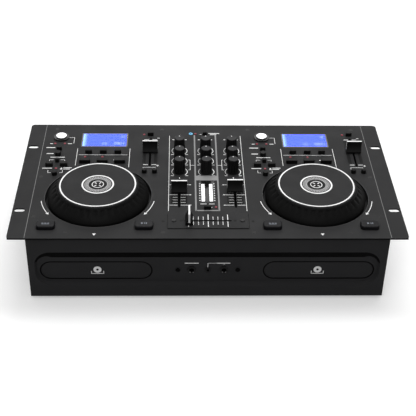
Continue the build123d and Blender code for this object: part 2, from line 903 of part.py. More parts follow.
# ---------------------------------------------------------------- pieces of each deck
for side, deck_x in decks.items():
    # Jog wheel: a hollow sloped rim with scallops, and a recess for the disc on top.
    ledge = plate_top + jog_ledge_rise
    disc_seat = plate_top + jog_rise - jog_disc_thick
    skirt = plate_top - jog_skirt_drop
    lip = plate_top + jog_lip_rise
    hub_bottom = dish_boss_top + fit_slide + fit_face
    web_under = disc_seat - jog_wall
    recess_radius = jog_disc_radius + fit_hole
    with BuildPart() as jog_wheel:
        with BuildSketch(facing_front(deck_x, jog_y, 0)):
            with BuildLine():
                Polyline(
                    (0, disc_seat),
                    (recess_radius, disc_seat),
                    (recess_radius, ledge),
                    (jog_ledge_radius, ledge),
                    (jog_radius, lip),
                    (jog_radius, skirt),
                    (jog_radius - jog_wall, skirt),
                    (jog_radius - jog_wall, lip - 1.0),
                    (jog_ledge_radius - jog_wall, web_under),
                    (jog_hub_radius, web_under),
                    (jog_hub_radius, hub_bottom),
                    (0, hub_bottom),
                    close=True,
                )
            make_face()
        revolve(axis=Axis((deck_x, jog_y, 0), (0, 0, 1)))
        # Scallops run down the upper part of the slope, and fade out as they go down.
        slope_run = jog_radius - jog_ledge_radius
        slope_fall = ledge - lip
        slope_length = hypot(slope_run, slope_fall)
        along = jog_scallop_start + jog_scallop_length / 2
        outside = jog_scallop_radius - jog_scallop_depth
        scallop_place = jog_ledge_radius + (along * slope_run + outside * slope_fall) / slope_length
        scallop_height = ledge + (outside * slope_run - along * slope_fall) / slope_length
        with Locations((deck_x, jog_y, scallop_height)):
            with PolarLocations(scallop_place, jog_scallops):
                Cone(
                    jog_scallop_radius,
                    jog_scallop_end_radius,
                    jog_scallop_length,
                    rotation=(0, 90 + degrees(atan2(slope_fall, slope_run)), 0),
                    mode=Mode.SUBTRACT,
                )
        # Bore for the steel shaft.
        with BuildSketch(Plane((deck_x, jog_y, hub_bottom))):
            Circle(jog_shaft_radius)
        extrude(amount=jog_shaft_in_hub, mode=Mode.SUBTRACT)
        # Shaft and encoder disc.
        shaft_bottom = dish_boss_bottom - fit_slide - encoder_thick
        with BuildSketch(Plane((deck_x, jog_y, shaft_bottom))):
            Circle(jog_shaft_radius)
        extrude(amount=hub_bottom + jog_shaft_in_hub - shaft_bottom)
        with BuildSketch(Plane((deck_x, jog_y, shaft_bottom))):
            Circle(encoder_radius)
        extrude(amount=encoder_thick)
    jog_wheel.part.label = f"{side}_jog_wheel"
    export_step(jog_wheel.part, f"parts/{side}_jog_wheel.step")

    with BuildPart() as jog_disc:
        with BuildSketch(Plane((deck_x, jog_y, disc_seat))):
            Circle(jog_disc_radius)
        extrude(amount=jog_disc_thick)
        chamfer(jog_disc.faces().sort_by(Axis.Z)[-1].edges(), 0.6)
    jog_disc.part.label = f"{side}_jog_disc"
    export_step(jog_disc.part, f"parts/{side}_jog_disc.step")

    # Track knob: skirt, domed cap and shaft.
    track_x = deck_x + track_offset
    track_y = from_front(track_from_front)
    with BuildPart() as track_knob:
        with BuildSketch(Plane((track_x, track_y, plate_top + knob_lift))):
            Circle(track_skirt_radius)
        extrude(amount=track_skirt_height)
        skirt_top = plate_top + knob_lift + track_skirt_height
        with BuildSketch(Plane((track_x, track_y, skirt_top))):
            Circle(track_cap_radius)
        cap = extrude(amount=track_cap_height)
        fillet(cap.faces().sort_by(Axis.Z)[-1].edges(), track_cap_height * 0.6)
        with BuildSketch(Plane((track_x, track_y, plate_top + knob_lift))):
            Circle(pot_shaft_radius)
        extrude(amount=-(knob_lift + plate_thick + pot_shaft_in_pot))
    track_knob.part.label = f"{side}_track_knob"
    export_step(track_knob.part, f"parts/{side}_track_knob.step")

    # CUE and PLAY.
    for sign, action in {-1: "cue", 1: "play"}.items():
        pad_x = deck_x + sign * pad_offset
        pad_y = from_front(pad_from_front)
        flange_top = plate_under - fit_face
        with BuildPart() as pad:
            with BuildSketch(Plane((pad_x, pad_y, flange_top))):
                RectangleRounded(pad_width, pad_depth, pad_corner)
            cap = extrude(amount=plate_top + pad_rise - flange_top)
            fillet(cap.faces().sort_by(Axis.Z)[-1].edges(), pad_edge)
            with BuildSketch(Plane((pad_x, pad_y, flange_top))):
                RectangleRounded(
                    pad_width + 2 * button_flange, pad_depth + 2 * button_flange, pad_corner
                )
            extrude(amount=-button_flange_thick)
            stem_top = flange_top - button_flange_thick
            with BuildSketch(Plane((pad_x, pad_y, stem_top))):
                Circle(2 * button_stem_radius)
            extrude(amount=switch_top + button_travel + fit_face - stem_top)
        pad.part.label = f"{side}_{action}_button"
        export_step(pad.part, f"parts/{side}_{action}_button.step")

    # Disc tray with its recesses, its pickup slot and two runners.
    tray_half = tray_width / 2
    with BuildPart() as tray:
        with BuildSketch(Plane((deck_x, tray_front + tray_length / 2, tray_under))):
            Rectangle(tray_width, tray_length)
        extrude(amount=tray_thick)
        with BuildSketch(Plane((deck_x, tray_front + tray_length / 2, tray_under))):
            for sign in (-1, 1):
                with Locations((sign * (tray_half - runner_width / 2), 0)):
                    Rectangle(runner_width, tray_length)
        extrude(amount=-runner_height)
        with BuildSketch(Plane((deck_x, disc_y, tray_high))):
            Circle(disc_radius)
        extrude(amount=-disc_recess, mode=Mode.SUBTRACT)
        with BuildSketch(Plane((deck_x, disc_y, tray_high - disc_recess))):
            Circle(small_disc_radius)
        extrude(amount=-small_disc_recess, mode=Mode.SUBTRACT)
        slot_middle = disc_y + pickup_slot_length / 2 - pickup_slot_width / 2
        with BuildSketch(Plane((deck_x, slot_middle, tray_under))):
            SlotOverall(pickup_slot_length, pickup_slot_width, rotation=90)
        extrude(amount=tray_thick, mode=Mode.SUBTRACT)
    tray.part.label = f"{side}_tray"
    export_step(tray.part, f"parts/{side}_tray.step")

    with BuildPart() as tray_door:
        with BuildSketch(facing_front(deck_x, recess_floor, door_z)):
            SlotOverall(door_width, door_height)
        extrude(amount=-door_thick)
        chamfer(tray_door.faces().sort_by(Axis.Y)[0].edges(), 0.5)
    tray_door.part.label = f"{side}_tray_door"
    export_step(tray_door.part, f"parts/{side}_tray_door.step")

    # Disc mechanism: frame with rails on four posts, spindle motor and sled rods.
    rail_middle = rail_front + rail_length / 2
    rail_outer = rail_inner + rail_wall
    sled_y = disc_y + turntable_radius + sled_gap
    rod_y = sled_y - sled_length / 2 - rod_end_thick
    rod_z = frame_top + sled_lift + sled_height / 2
    with BuildPart() as mechanism:
        with BuildSketch(Plane((deck_x, rail_middle, frame_top))):
            Rectangle(2 * rail_outer, rail_length)
            with Locations((0, disc_y - rail_middle)):
                Circle(spindle_radius + 2.0, mode=Mode.SUBTRACT)
        extrude(amount=-frame_thick)
        with BuildSketch(Plane((deck_x, rail_middle, frame_top))):
            for sign in (-1, 1):
                with Locations((sign * (rail_inner + rail_wall / 2), 0)):
                    Rectangle(rail_wall, rail_length)
        extrude(amount=rail_top - frame_top)
        with BuildSketch(Plane((deck_x, rail_middle, frame_top))):
            for sign in (-1, 1):
                with Locations((sign * (rail_inner - ledge_width / 2), 0)):
                    Rectangle(ledge_width, rail_length)
        extrude(amount=ledge_thick)
        with BuildSketch(Plane((deck_x, rail_middle, rail_top))):
            for sign in (-1, 1):
                with Locations((sign * (rail_inner - lip_width / 2), 0)):
                    Rectangle(lip_width, rail_length)
        extrude(amount=-lip_thick)
        with BuildSketch(Plane((deck_x, rail_middle, floor_top))):
            with GridLocations(
                2 * (rail_outer - frame_post_inset), rail_length - 2 * frame_post_inset, 2, 2
            ):
                Circle(frame_post_radius)
        extrude(amount=frame_top - frame_thick - floor_top)
        # Spindle motor under the frame.
        with BuildSketch(Plane((deck_x, disc_y, frame_top - frame_thick))):
            Circle(motor_radius)
            Circle(spindle_radius + fit_shaft, mode=Mode.SUBTRACT)
        extrude(amount=-motor_height)
        # Two rods for the pickup sled, each held at both ends.
        for sign in (-1, 1):
            rod_x = deck_x + sign * rod_offset
            with BuildSketch(Plane((rod_x, rod_y, rod_z), z_dir=(0, 1, 0))):
                Circle(rod_radius)
            extrude(amount=rod_length)
            for end in (rod_y + rod_end_thick / 2, rod_y + rod_length - rod_end_thick / 2):
                with BuildSketch(Plane((rod_x, end, frame_top))):
                    Rectangle(rod_end_width, rod_end_thick)
                extrude(amount=rod_z + rod_radius - frame_top)
    mechanism.part.label = f"{side}_disc_mechanism"
    export_step(mechanism.part, f"parts/{side}_disc_mechanism.step")

    # Pickup sled with its lens, and two arms that slide on the rods.
    with BuildPart() as sled:
        with BuildSketch(Plane((deck_x, sled_y, frame_top + sled_lift))):
            Rectangle(sled_width, sled_length)
            Rectangle(2 * (rod_offset + rod_end_width / 2), sled_arm_depth)
        extrude(amount=sled_height)
        with BuildSketch(Plane((deck_x, sled_y - lens_forward, frame_top + sled_lift + sled_height))):
            Circle(lens_radius)
        extrude(amount=lens_rise)
        with BuildSketch(facing_front(deck_x, sled_y + sled_arm_depth, rod_z)):
            for sign in (-1, 1):
                with Locations((sign * rod_offset, 0)):
                    Circle(rod_radius + fit_slide)
        extrude(amount=2 * sled_arm_depth, mode=Mode.SUBTRACT)
    sled.part.label = f"{side}_pickup_sled"
    export_step(sled.part, f"parts/{side}_pickup_sled.step")

    # Spindle with its turntable.
    turntable_low = frame_top + turntable_lift
    with BuildPart() as spindle:
        with BuildSketch(Plane((deck_x, disc_y, turntable_low))):
            Circle(turntable_radius)
        extrude(amount=turntable_thick)
        with Locations((deck_x, disc_y, turntable_low + turntable_thick + hub_height / 2)):
            Cone(hub_radius, hub_radius - 1.0, hub_height)
        shaft_low = frame_top - frame_thick - motor_height + 1.0
        with BuildSketch(Plane((deck_x, disc_y, shaft_low))):
            Circle(spindle_radius)
        extrude(amount=turntable_low - shaft_low)
        with BuildSketch(Plane((deck_x, disc_y, turntable_low))):
            Circle(3.0)
        extrude(amount=-(turntable_lift - fit_slide))
    spindle.part.label = f"{side}_spindle"
    export_step(spindle.part, f"parts/{side}_spindle.step")

# ---------------------------------------------------------------- clamp bridges
# A bridge lies across the rails of each mechanism, with a puck that holds the disc down.
with BuildPart() as clamp_bridges:
    for deck_x in decks.values():
        with BuildSketch(Plane((deck_x, disc_y, rail_top))):
            Rectangle(2 * (rail_inner + rail_wall), bridge_width)
        extrude(amount=bridge_thick)
        with BuildSketch(Plane((deck_x, disc_y, rail_top))):
            Circle(clamp_radius)
        extrude(amount=-clamp_height)
clamp_bridges.part.label = "clamp_bridges"
export_step(clamp_bridges.part, "parts/clamp_bridges.step")

# ---------------------------------------------------------------- small buttons
# Each bank is caps through the plate, with flanges below it and stems down to the switches.
banks = {"mixer_buttons": (0.0, mixer_buttons)}
for side, deck_x in decks.items():
    banks[f"{side}_deck_buttons"] = (deck_x, deck_buttons)
    banks[f"{side}_pitch_buttons"] = (deck_x, pitch_buttons)
cap_low = plate_under - fit_face
stem_top = cap_low - button_flange_thick
stem_low = switch_top + button_travel + fit_face
for name, (centre_x, places) in banks.items():
    with BuildPart() as bank:
        extrude(
            button_sketch(cap_low, centre_x, places), amount=plate_top + button_rise - cap_low
        )
        chamfer(bank.faces().group_by(Axis.Z)[-1].edges(), button_chamfer)
        extrude(
            button_sketch(cap_low, centre_x, places, button_flange),
            amount=-button_flange_thick,
        )
        extrude(stem_sketch(stem_top, centre_x, places), amount=stem_low - stem_top)
    bank.part.label = name
    export_step(bank.part, f"parts/{name}.step")

# ---------------------------------------------------------------- mixer knobs
knob_bottom = plate_top + knob_lift
knob_top = knob_bottom + knob_height
flute_place = knob_top_radius + 0.6 * knob_flute_radius
for name, (x, y) in knob_places.items():
    with BuildPart() as knob:
        # A fluted grip that narrows towards the top, and a round foot below it.
        with Locations((x, y, (knob_bottom + knob_foot + knob_top) / 2)):
            Cone(knob_radius, knob_top_radius, knob_height - knob_foot)
        chamfer(knob.faces().sort_by(Axis.Z)[-1].edges(), knob_chamfer)
        with BuildSketch(Plane((x, y, knob_bottom + knob_foot))):
            with PolarLocations(flute_place, knob_flutes, start_angle=15):
                Circle(knob_flute_radius)
        extrude(amount=knob_height, mode=Mode.SUBTRACT)
        with BuildSketch(Plane((x, y, knob_bottom))):
            Circle(knob_radius)
        extrude(amount=knob_foot)
        # Dot on the top, at the side that points to the mark.
        with BuildSketch(Plane((x, y + pointer_place, knob_top))):
            Circle(pointer_radius)
        extrude(amount=-pointer_depth, mode=Mode.SUBTRACT)
        # Shaft of the potentiometer, pressed into the knob.
        with BuildSketch(Plane((x, y, knob_bottom))):
            Circle(pot_shaft_radius)
        extrude(amount=-(knob_lift + plate_thick + pot_shaft_in_pot))
    knob.part.label = name
    export_step(knob.part, f"parts/{name}.step")

# ---------------------------------------------------------------- faders
fader_places = {
    "left_pitch_fader": (decks["left"] + pitch_offset, pitch_from_front, 0.0, pitch_travel),
    "right_pitch_fader": (decks["right"] + pitch_offset, pitch_from_front, 0.0, pitch_travel),
    "left_channel_fader": (
        -channel_offset,
        channel_from_front,
        channel_start["left"],
        channel_travel,
    ),
    "right_channel_fader": (
        channel_offset,
        channel_from_front,
        channel_start["right"],
        channel_travel,
    ),
}
fader_frames = {
    name: Plane((x, from_front(distance), plate_top), x_dir=(0, 1, 0), z_dir=(0, 0, 1))
    for name, (x, distance, _, _) in fader_places.items()
}
fader_starts = {name: start for name, (_, _, start, _) in fader_places.items()}
fader_travels = {name: travel for name, (_, _, _, travel) in fader_places.items()}
fader_frames["crossfader"] = Plane(
    (0, from_front(cross_from_front), plate_top), x_dir=(1, 0, 0), z_dir=(0, 0, 1)
)
fader_starts["crossfader"] = cross_start
fader_travels["crossfader"] = cross_travel

for name, frame in fader_frames.items():
    # In this frame X is along the stroke and Z is up from the plate.
    start = fader_starts[name]
    section = Plane(
        frame.origin + frame.x_dir * start, x_dir=frame.x_dir, z_dir=frame.x_dir.cross(Vector(0, 0, 1))
    )
    cap_top = cap_lift + cap_height
    with BuildPart() as fader:
        with BuildSketch(section):
            with BuildLine():
                Line((-cap_base / 2, cap_lift), (cap_base / 2, cap_lift))
                Line((cap_base / 2, cap_lift), (cap_base / 2, cap_lift + 1.5))
                ThreePointArc(
                    (cap_base / 2, cap_lift + 1.5),
                    (cap_waist + 0.5, cap_lift + cap_height * 0.45),
                    (cap_ridge / 2, cap_top),
                )
                Line((cap_ridge / 2, cap_top), (-cap_ridge / 2, cap_top))
                ThreePointArc(
                    (-cap_ridge / 2, cap_top),
                    (-cap_waist - 0.5, cap_lift + cap_height * 0.45),
                    (-cap_base / 2, cap_lift + 1.5),
                )
                Line((-cap_base / 2, cap_lift + 1.5), (-cap_base / 2, cap_lift))
            make_face()
        extrude(amount=cap_length / 2, both=True)
        # Metal lever from the carriage up into the cap.
        lever_low = -plate_thick - fader_body_height + fader_floor + fit_slide
        with BuildSketch(frame.offset(lever_low)):
            with Locations((start, 0)):
                Rectangle(lever_along, lever_thick)
        extrude(amount=cap_lift + lever_in_cap - lever_low)
    fader.part.label = name
    export_step(fader.part, f"parts/{name}.step")

# ---------------------------------------------------------------- bodies of the faders and pots
with BuildPart() as control_bodies:
    for name, frame in fader_frames.items():
        travel = fader_travels[name]
        with BuildSketch(frame.offset(-plate_thick)):
            Rectangle(travel + fader_body_spare, fader_body_width)
        extrude(amount=-fader_body_height)
        with BuildSketch(frame.offset(-plate_thick)):
            Rectangle(travel + fader_slot_spare, fader_slot_width - 2 * fit_hole)
        extrude(amount=-(fader_body_height - fader_floor), mode=Mode.SUBTRACT)
    track_places = [
        (deck_x + track_offset, from_front(track_from_front)) for deck_x in decks.values()
    ]
    with BuildSketch(Plane.XY.offset(plate_under)):
        with Locations(*knob_places.values(), *track_places):
            Rectangle(pot_size, pot_size)
    extrude(amount=-pot_height)
    with BuildSketch(Plane.XY.offset(plate_under)):
        with Locations(*knob_places.values(), *track_places):
            Circle(pot_shaft_radius + fit_shaft)
    extrude(amount=-(pot_shaft_in_pot + fit_slide), mode=Mode.SUBTRACT)
control_bodies.part.label = "control_bodies"
export_step(control_bodies.part, "parts/control_bodies.step")

# ---------------------------------------------------------------- control boards with switches
board_front = plate_front + board_front_inset
board_rear = plate_rear - board_rear_inset
board_middle = (board_front + board_rear) / 2
spacer_places = [
    (deck_x + offset, y)
    for deck_x in decks.values()
    for offset, y in [
        (-70.5, from_front(59.0)),
        (70.5, from_front(59.0)),
        (44.0, board_rear - 8.0),
        (-40.5, board_rear - 5.0),
    ]
]
mixer_board_width = 100.0
mixer_spacers = [(sign * 46.0, from_front(59.0)) for sign in (-1, 1)]
mixer_spacers += [(sign * 46.0, board_rear - 4.0) for sign in (-1, 1)]
with BuildPart() as control_boards:
    with BuildSketch(Plane.XY.offset(deck_board_top)):
        for deck_x in decks.values():
            with Locations((deck_x, board_middle)):
                Rectangle(2 * deck_board_half_width, board_rear - board_front)
            with Locations((deck_x, jog_y)):
                Circle(dish_boss_radius + 3.0, mode=Mode.SUBTRACT)
        with Locations((0, board_middle)):
            Rectangle(mixer_board_width, board_rear - board_front)
    extrude(amount=-board_thick)
    with BuildSketch(Plane.XY.offset(deck_board_top)):
        with Locations(*switch_places):
            Rectangle(switch_size, switch_size)
        with Locations(*pad_places):
            Rectangle(switch_size, switch_size)
    extrude(amount=switch_height)
    with BuildSketch(Plane.XY.offset(deck_board_top)):
        with Locations(*spacer_places, *mixer_spacers):
            Circle(spacer_radius)
    extrude(amount=plate_under - deck_board_top)
control_boards.part.label = "control_boards"
export_step(control_boards.part, "parts/control_boards.step")

# ---------------------------------------------------------------- main board and power supply
main_middle = body_rear - sheet - 14.0 - main_board_depth / 2
standoff_top = floor_top + standoff_height
with BuildPart() as main_board:
    with BuildSketch(Plane((0, main_middle, standoff_top))):
        Rectangle(main_board_width, main_board_depth)
    extrude(amount=board_thick)
    with BuildSketch(Plane((0, main_middle, floor_top))):
        with GridLocations(
            main_board_width - 2 * standoff_inset, main_board_depth - 2 * standoff_inset, 2, 2
        ):
            Circle(standoff_radius)
    extrude(amount=standoff_height)
    with BuildSketch(Plane((0, main_middle, standoff_top + board_thick))):
        with Locations((-20, 30), (18, 36)):
            Rectangle(20, 20)
        with GridLocations(24, 16, 3, 2):
            Rectangle(14, 6)
    extrude(amount=2.5)
    with BuildSketch(Plane((0, main_middle, standoff_top + board_thick))):
        with Locations((-40, -50), (-26, -50), (30, -52), (42, -30)):
            Circle(5.0)
    extrude(amount=14.0)
main_board.part.label = "main_board"
export_step(main_board.part, "parts/main_board.step")

supply_middle = body_rear - sheet - 24.0 - supply_depth / 2
with BuildPart() as power_supply:
    with BuildSketch(Plane((supply_offset, supply_middle, standoff_top))):
        Rectangle(supply_width, supply_depth)
    extrude(amount=board_thick)
    with BuildSketch(Plane((supply_offset, supply_middle, floor_top))):
        with GridLocations(
            supply_width - 2 * standoff_inset, supply_depth - 2 * standoff_inset, 2, 2
        ):
            Circle(standoff_radius)
    extrude(amount=standoff_height)
    # Transformer, heat sink and reservoir capacitors.
    with BuildSketch(Plane((supply_offset, supply_middle, standoff_top + board_thick))):
        with Locations((-22, 2)):
            Rectangle(38, 34)
    extrude(amount=28.0)
    with BuildSketch(Plane((supply_offset, supply_middle, standoff_top + board_thick))):
        with Locations((14, -16), (28, -16), (42, -16)):
            Circle(6.0)
    extrude(amount=20.0)
    with BuildSketch(Plane((supply_offset, supply_middle, standoff_top + board_thick))):
        with Locations((26, 12)):
            Rectangle(36, 4)
            with GridLocations(7.2, 0, 5, 1):
                Rectangle(1.6, 12)
    extrude(amount=24.0)
power_supply.part.label = "power_supply"
export_step(power_supply.part, "parts/power_supply.step")
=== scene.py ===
"""Looks of a dual disc player console with a two-channel mixer. Lengths are in metres."""

from math import cos, pi, radians, sin

import bmesh
import bpy
from mathutils import Matrix, Vector


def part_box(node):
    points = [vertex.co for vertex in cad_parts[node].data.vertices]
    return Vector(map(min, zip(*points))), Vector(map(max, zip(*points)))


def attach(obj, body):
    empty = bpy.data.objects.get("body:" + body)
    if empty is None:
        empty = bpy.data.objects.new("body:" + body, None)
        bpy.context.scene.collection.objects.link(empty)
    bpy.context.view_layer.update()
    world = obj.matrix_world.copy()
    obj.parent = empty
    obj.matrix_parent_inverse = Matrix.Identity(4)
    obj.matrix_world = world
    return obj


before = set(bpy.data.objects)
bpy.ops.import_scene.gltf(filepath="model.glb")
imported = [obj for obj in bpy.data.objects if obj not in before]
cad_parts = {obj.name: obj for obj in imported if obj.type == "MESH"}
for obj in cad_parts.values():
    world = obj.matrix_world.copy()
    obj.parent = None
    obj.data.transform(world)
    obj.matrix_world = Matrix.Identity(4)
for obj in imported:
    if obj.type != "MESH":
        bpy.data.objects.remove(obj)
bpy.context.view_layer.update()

# ------------------------------------------------------------ camera
# The camera stands in front of the console, a little to the left, and looks down on its top.
# The long lens keeps the sides nearly parallel.
camera_place = (-0.0356, -1.0729, 0.8228)
camera_down = 0.62355
camera_turn = 0.03585
camera_lean = 0.0218
film_width = 36.0
focal_length = 86.05
nearest_seen = 0.05

bpy.ops.object.select_all(action="DESELECT")
bpy.ops.object.camera_add(location=camera_place)
camera = bpy.context.object
camera.name = "camera"
aim = (
    Matrix.Rotation(-camera_turn, 4, "Z")
    @ Matrix.Rotation(pi / 2 - camera_down, 4, "X")
    @ Matrix.Rotation(camera_lean, 4, "Z")
)
camera.rotation_euler = aim.to_euler()
camera.data.sensor_width = film_width
camera.data.lens = focal_length
camera.data.clip_start = nearest_seen
bpy.context.scene.camera = camera

# ------------------------------------------------------------ floor and lamps
# A plain pale floor and room. The floor shows white to the camera and keeps the console's soft
# shadow. Large soft lamps hang above, in front and behind, as in a product studio.
floor_seen = (0.74, 0.74, 0.74, 1.0)
floor_unseen = (0.24, 0.24, 0.24, 1.0)
floor_lift = 0.33
floor_size = 8.0
floor_roughness = 0.9
floor_shine = 0.1
room_white = (1.0, 1.0, 1.0, 1.0)
room_low = 0.10
room_high = 0.75


def seen_directly(nodes, links):
    """Socket that is 1 for a ray from the camera, off a mirror or through glass, else 0."""
    path = nodes.new("ShaderNodeLightPath")
    either = nodes.new("ShaderNodeMath")
    either.operation = "MAXIMUM"
    links.new(path.outputs["Is Camera Ray"], either.inputs[0])
    links.new(path.outputs["Is Glossy Ray"], either.inputs[1])
    through = nodes.new("ShaderNodeMath")
    through.operation = "MAXIMUM"
    links.new(either.outputs[0], through.inputs[0])
    links.new(path.outputs["Is Transmission Ray"], through.inputs[1])
    return through.outputs[0]


bpy.ops.mesh.primitive_grid_add(x_subdivisions=8, y_subdivisions=8, size=floor_size)
floor = bpy.context.object
floor.name = "floor"
floor_paint = bpy.data.materials.new("floor_paint")
floor_paint.use_nodes = True
nodes, links = floor_paint.node_tree.nodes, floor_paint.node_tree.links
tone = nodes.new("ShaderNodeMix")
tone.data_type = "RGBA"
tone.inputs["A"].default_value = floor_unseen
tone.inputs["B"].default_value = floor_seen
links.new(seen_directly(nodes, links), tone.inputs["Factor"])
links.new(tone.outputs["Result"], nodes["Principled BSDF"].inputs["Base Color"])
nodes["Principled BSDF"].inputs["Roughness"].default_value = floor_roughness
nodes["Principled BSDF"].inputs["Specular IOR Level"].default_value = floor_shine
glow = nodes.new("ShaderNodeEmission")
glow_strength = nodes.new("ShaderNodeMath")
glow_strength.operation = "MULTIPLY"
glow_strength.inputs[1].default_value = floor_lift
links.new(seen_directly(nodes, links), glow_strength.inputs[0])
links.new(glow_strength.outputs[0], glow.inputs["Strength"])
both = nodes.new("ShaderNodeAddShader")
links.new(nodes["Principled BSDF"].outputs[0], both.inputs[0])
links.new(glow.outputs[0], both.inputs[1])
links.new(both.outputs[0], nodes["Material Output"].inputs["Surface"])
floor.data.materials.append(floor_paint)

world = bpy.data.worlds.new("studio")
bpy.context.scene.world = world
world.use_nodes = True
nodes, links = world.node_tree.nodes, world.node_tree.links
nodes["Background"].inputs["Color"].default_value = room_white
# The room is dim at its walls and bright overhead, and plain white behind the console.
way = nodes.new("ShaderNodeTexCoord")
rise = nodes.new("ShaderNodeSeparateXYZ")
links.new(way.outputs["Generated"], rise.inputs[0])
overhead = nodes.new("ShaderNodeMapRange")
overhead.inputs["To Min"].default_value = room_low
overhead.inputs["To Max"].default_value = room_high
links.new(rise.outputs["Z"], overhead.inputs["Value"])
strength = nodes.new("ShaderNodeMix")
strength.inputs["B"].default_value = 1.0
links.new(overhead.outputs["Result"], strength.inputs["A"])
links.new(seen_directly(nodes, links), strength.inputs["Factor"])
links.new(strength.outputs["Result"], nodes["Background"].inputs["Strength"])
bpy.context.scene.view_settings.view_transform = "Standard"

# Each lamp: place, point that it faces, width, depth and power in watts.
lamps = {
    "top_lamp": ((0.15, 0.3, 1.5), (0.0, 0.0, 0.05), 1.2, 0.45, 13.0),
    "front_lamp": ((-0.2, -1.1, 1.1), (0.0, -0.1, 0.05), 0.7, 0.3, 4.5),
    "rear_lamp": ((0.0, 1.4, 0.95), (0.0, 0.1, 0.1), 1.2, 0.3, 4.0),
}
for name, (place, target, width, depth, power) in lamps.items():
    bpy.ops.object.light_add(type="AREA", location=place)
    lamp = bpy.context.object
    lamp.name = name
    lamp.data.shape = "RECTANGLE"
    lamp.data.size = width
    lamp.data.size_y = depth
    lamp.data.energy = power
    lamp.rotation_euler = (Vector(target) - Vector(place)).to_track_quat("-Z", "Y").to_euler()
bpy.ops.object.select_all(action="DESELECT")

# ------------------------------------------------------------ pan and rear panel
# The pan is folded steel sheet, and the rear panel closes it. Both have a fine black powder coat,
# with a slight orange peel.
pan_black = (0.012, 0.012, 0.013, 1.0)
pan_grey = (0.019, 0.019, 0.020, 1.0)
peel_scale = 900.0
MM = 0.001


def finish(name, dark, light, scale, roughness, depth, metallic=0.0, shine=0.18, spread=0.08):
    """Material whose tone and gloss waver on a fine grain, with the grain as a slight relief."""
    made = bpy.data.materials.new(name)
    made.use_nodes = True
    nodes, links = made.node_tree.nodes, made.node_tree.links
    shader = nodes["Principled BSDF"]
    shader.inputs["Metallic"].default_value = metallic
    shader.inputs["Specular IOR Level"].default_value = shine
    place = nodes.new("ShaderNodeTexCoord")
    grain = nodes.new("ShaderNodeTexNoise")
    grain.inputs["Scale"].default_value = scale
    grain.inputs["Detail"].default_value = 3.0
    links.new(place.outputs["Object"], grain.inputs["Vector"])
    cloud = nodes.new("ShaderNodeTexNoise")
    cloud.inputs["Scale"].default_value = scale * 0.03
    links.new(place.outputs["Object"], cloud.inputs["Vector"])
    both = nodes.new("ShaderNodeMath")
    both.operation = "MULTIPLY_ADD"
    both.inputs[1].default_value = 0.5
    links.new(grain.outputs["Fac"], both.inputs[0])
    half = nodes.new("ShaderNodeMath")
    half.operation = "MULTIPLY"
    half.inputs[1].default_value = 0.5
    links.new(cloud.outputs["Fac"], half.inputs[0])
    links.new(half.outputs[0], both.inputs[2])
    tone = nodes.new("ShaderNodeMix")
    tone.data_type = "RGBA"
    tone.inputs["A"].default_value = dark
    tone.inputs["B"].default_value = light
    links.new(both.outputs[0], tone.inputs["Factor"])
    links.new(tone.outputs["Result"], shader.inputs["Base Color"])
    gloss = nodes.new("ShaderNodeMapRange")
    gloss.inputs["From Min"].default_value = 0.3
    gloss.inputs["From Max"].default_value = 0.7
    gloss.inputs["To Min"].default_value = roughness - spread
    gloss.inputs["To Max"].default_value = roughness + spread
    links.new(cloud.outputs["Fac"], gloss.inputs["Value"])
    links.new(gloss.outputs["Result"], shader.inputs["Roughness"])
    relief = nodes.new("ShaderNodeBump")
    relief.inputs["Distance"].default_value = depth
    relief.inputs["Strength"].default_value = 0.6
    links.new(grain.outputs["Fac"], relief.inputs["Height"])
    links.new(relief.outputs["Normal"], shader.inputs["Normal"])
    return made


def crown(material, height, dark, light, metallic=0.0, roughness=0.4):
    """Gives all that lies above a height its own tone, metal and gloss, as on a capped knob."""
    nodes, links = material.node_tree.nodes, material.node_tree.links
    shader = nodes["Principled BSDF"]
    place = nodes.new("ShaderNodeTexCoord")
    apart = nodes.new("ShaderNodeSeparateXYZ")
    links.new(place.outputs["Object"], apart.inputs[0])
    above = nodes.new("ShaderNodeMath")
    above.operation = "GREATER_THAN"
    above.inputs[1].default_value = height
    links.new(apart.outputs["Z"], above.inputs[0])
    cloud = nodes.new("ShaderNodeTexNoise")
    cloud.inputs["Scale"].default_value = 600.0
    links.new(place.outputs["Object"], cloud.inputs["Vector"])
    cap_tone = nodes.new("ShaderNodeMix")
    cap_tone.data_type = "RGBA"
    cap_tone.inputs["A"].default_value = dark
    cap_tone.inputs["B"].default_value = light
    links.new(cloud.outputs["Fac"], cap_tone.inputs["Factor"])
    tone = nodes.new("ShaderNodeMix")
    tone.data_type = "RGBA"
    links.new(above.outputs[0], tone.inputs["Factor"])
    links.new(shader.inputs["Base Color"].links[0].from_socket, tone.inputs["A"])
    links.new(cap_tone.outputs["Result"], tone.inputs["B"])
    links.new(tone.outputs["Result"], shader.inputs["Base Color"])
    gloss = nodes.new("ShaderNodeMix")
    links.new(above.outputs[0], gloss.inputs["Factor"])
    links.new(shader.inputs["Roughness"].links[0].from_socket, gloss.inputs["A"])
    gloss.inputs["B"].default_value = roughness
    links.new(gloss.outputs["Result"], shader.inputs["Roughness"])
    if metallic:
        metal = nodes.new("ShaderNodeMath")
        metal.operation = "MULTIPLY"
        metal.inputs[1].default_value = metallic
        links.new(above.outputs[0], metal.inputs[0])
        links.new(metal.outputs[0], shader.inputs["Metallic"])
    return material


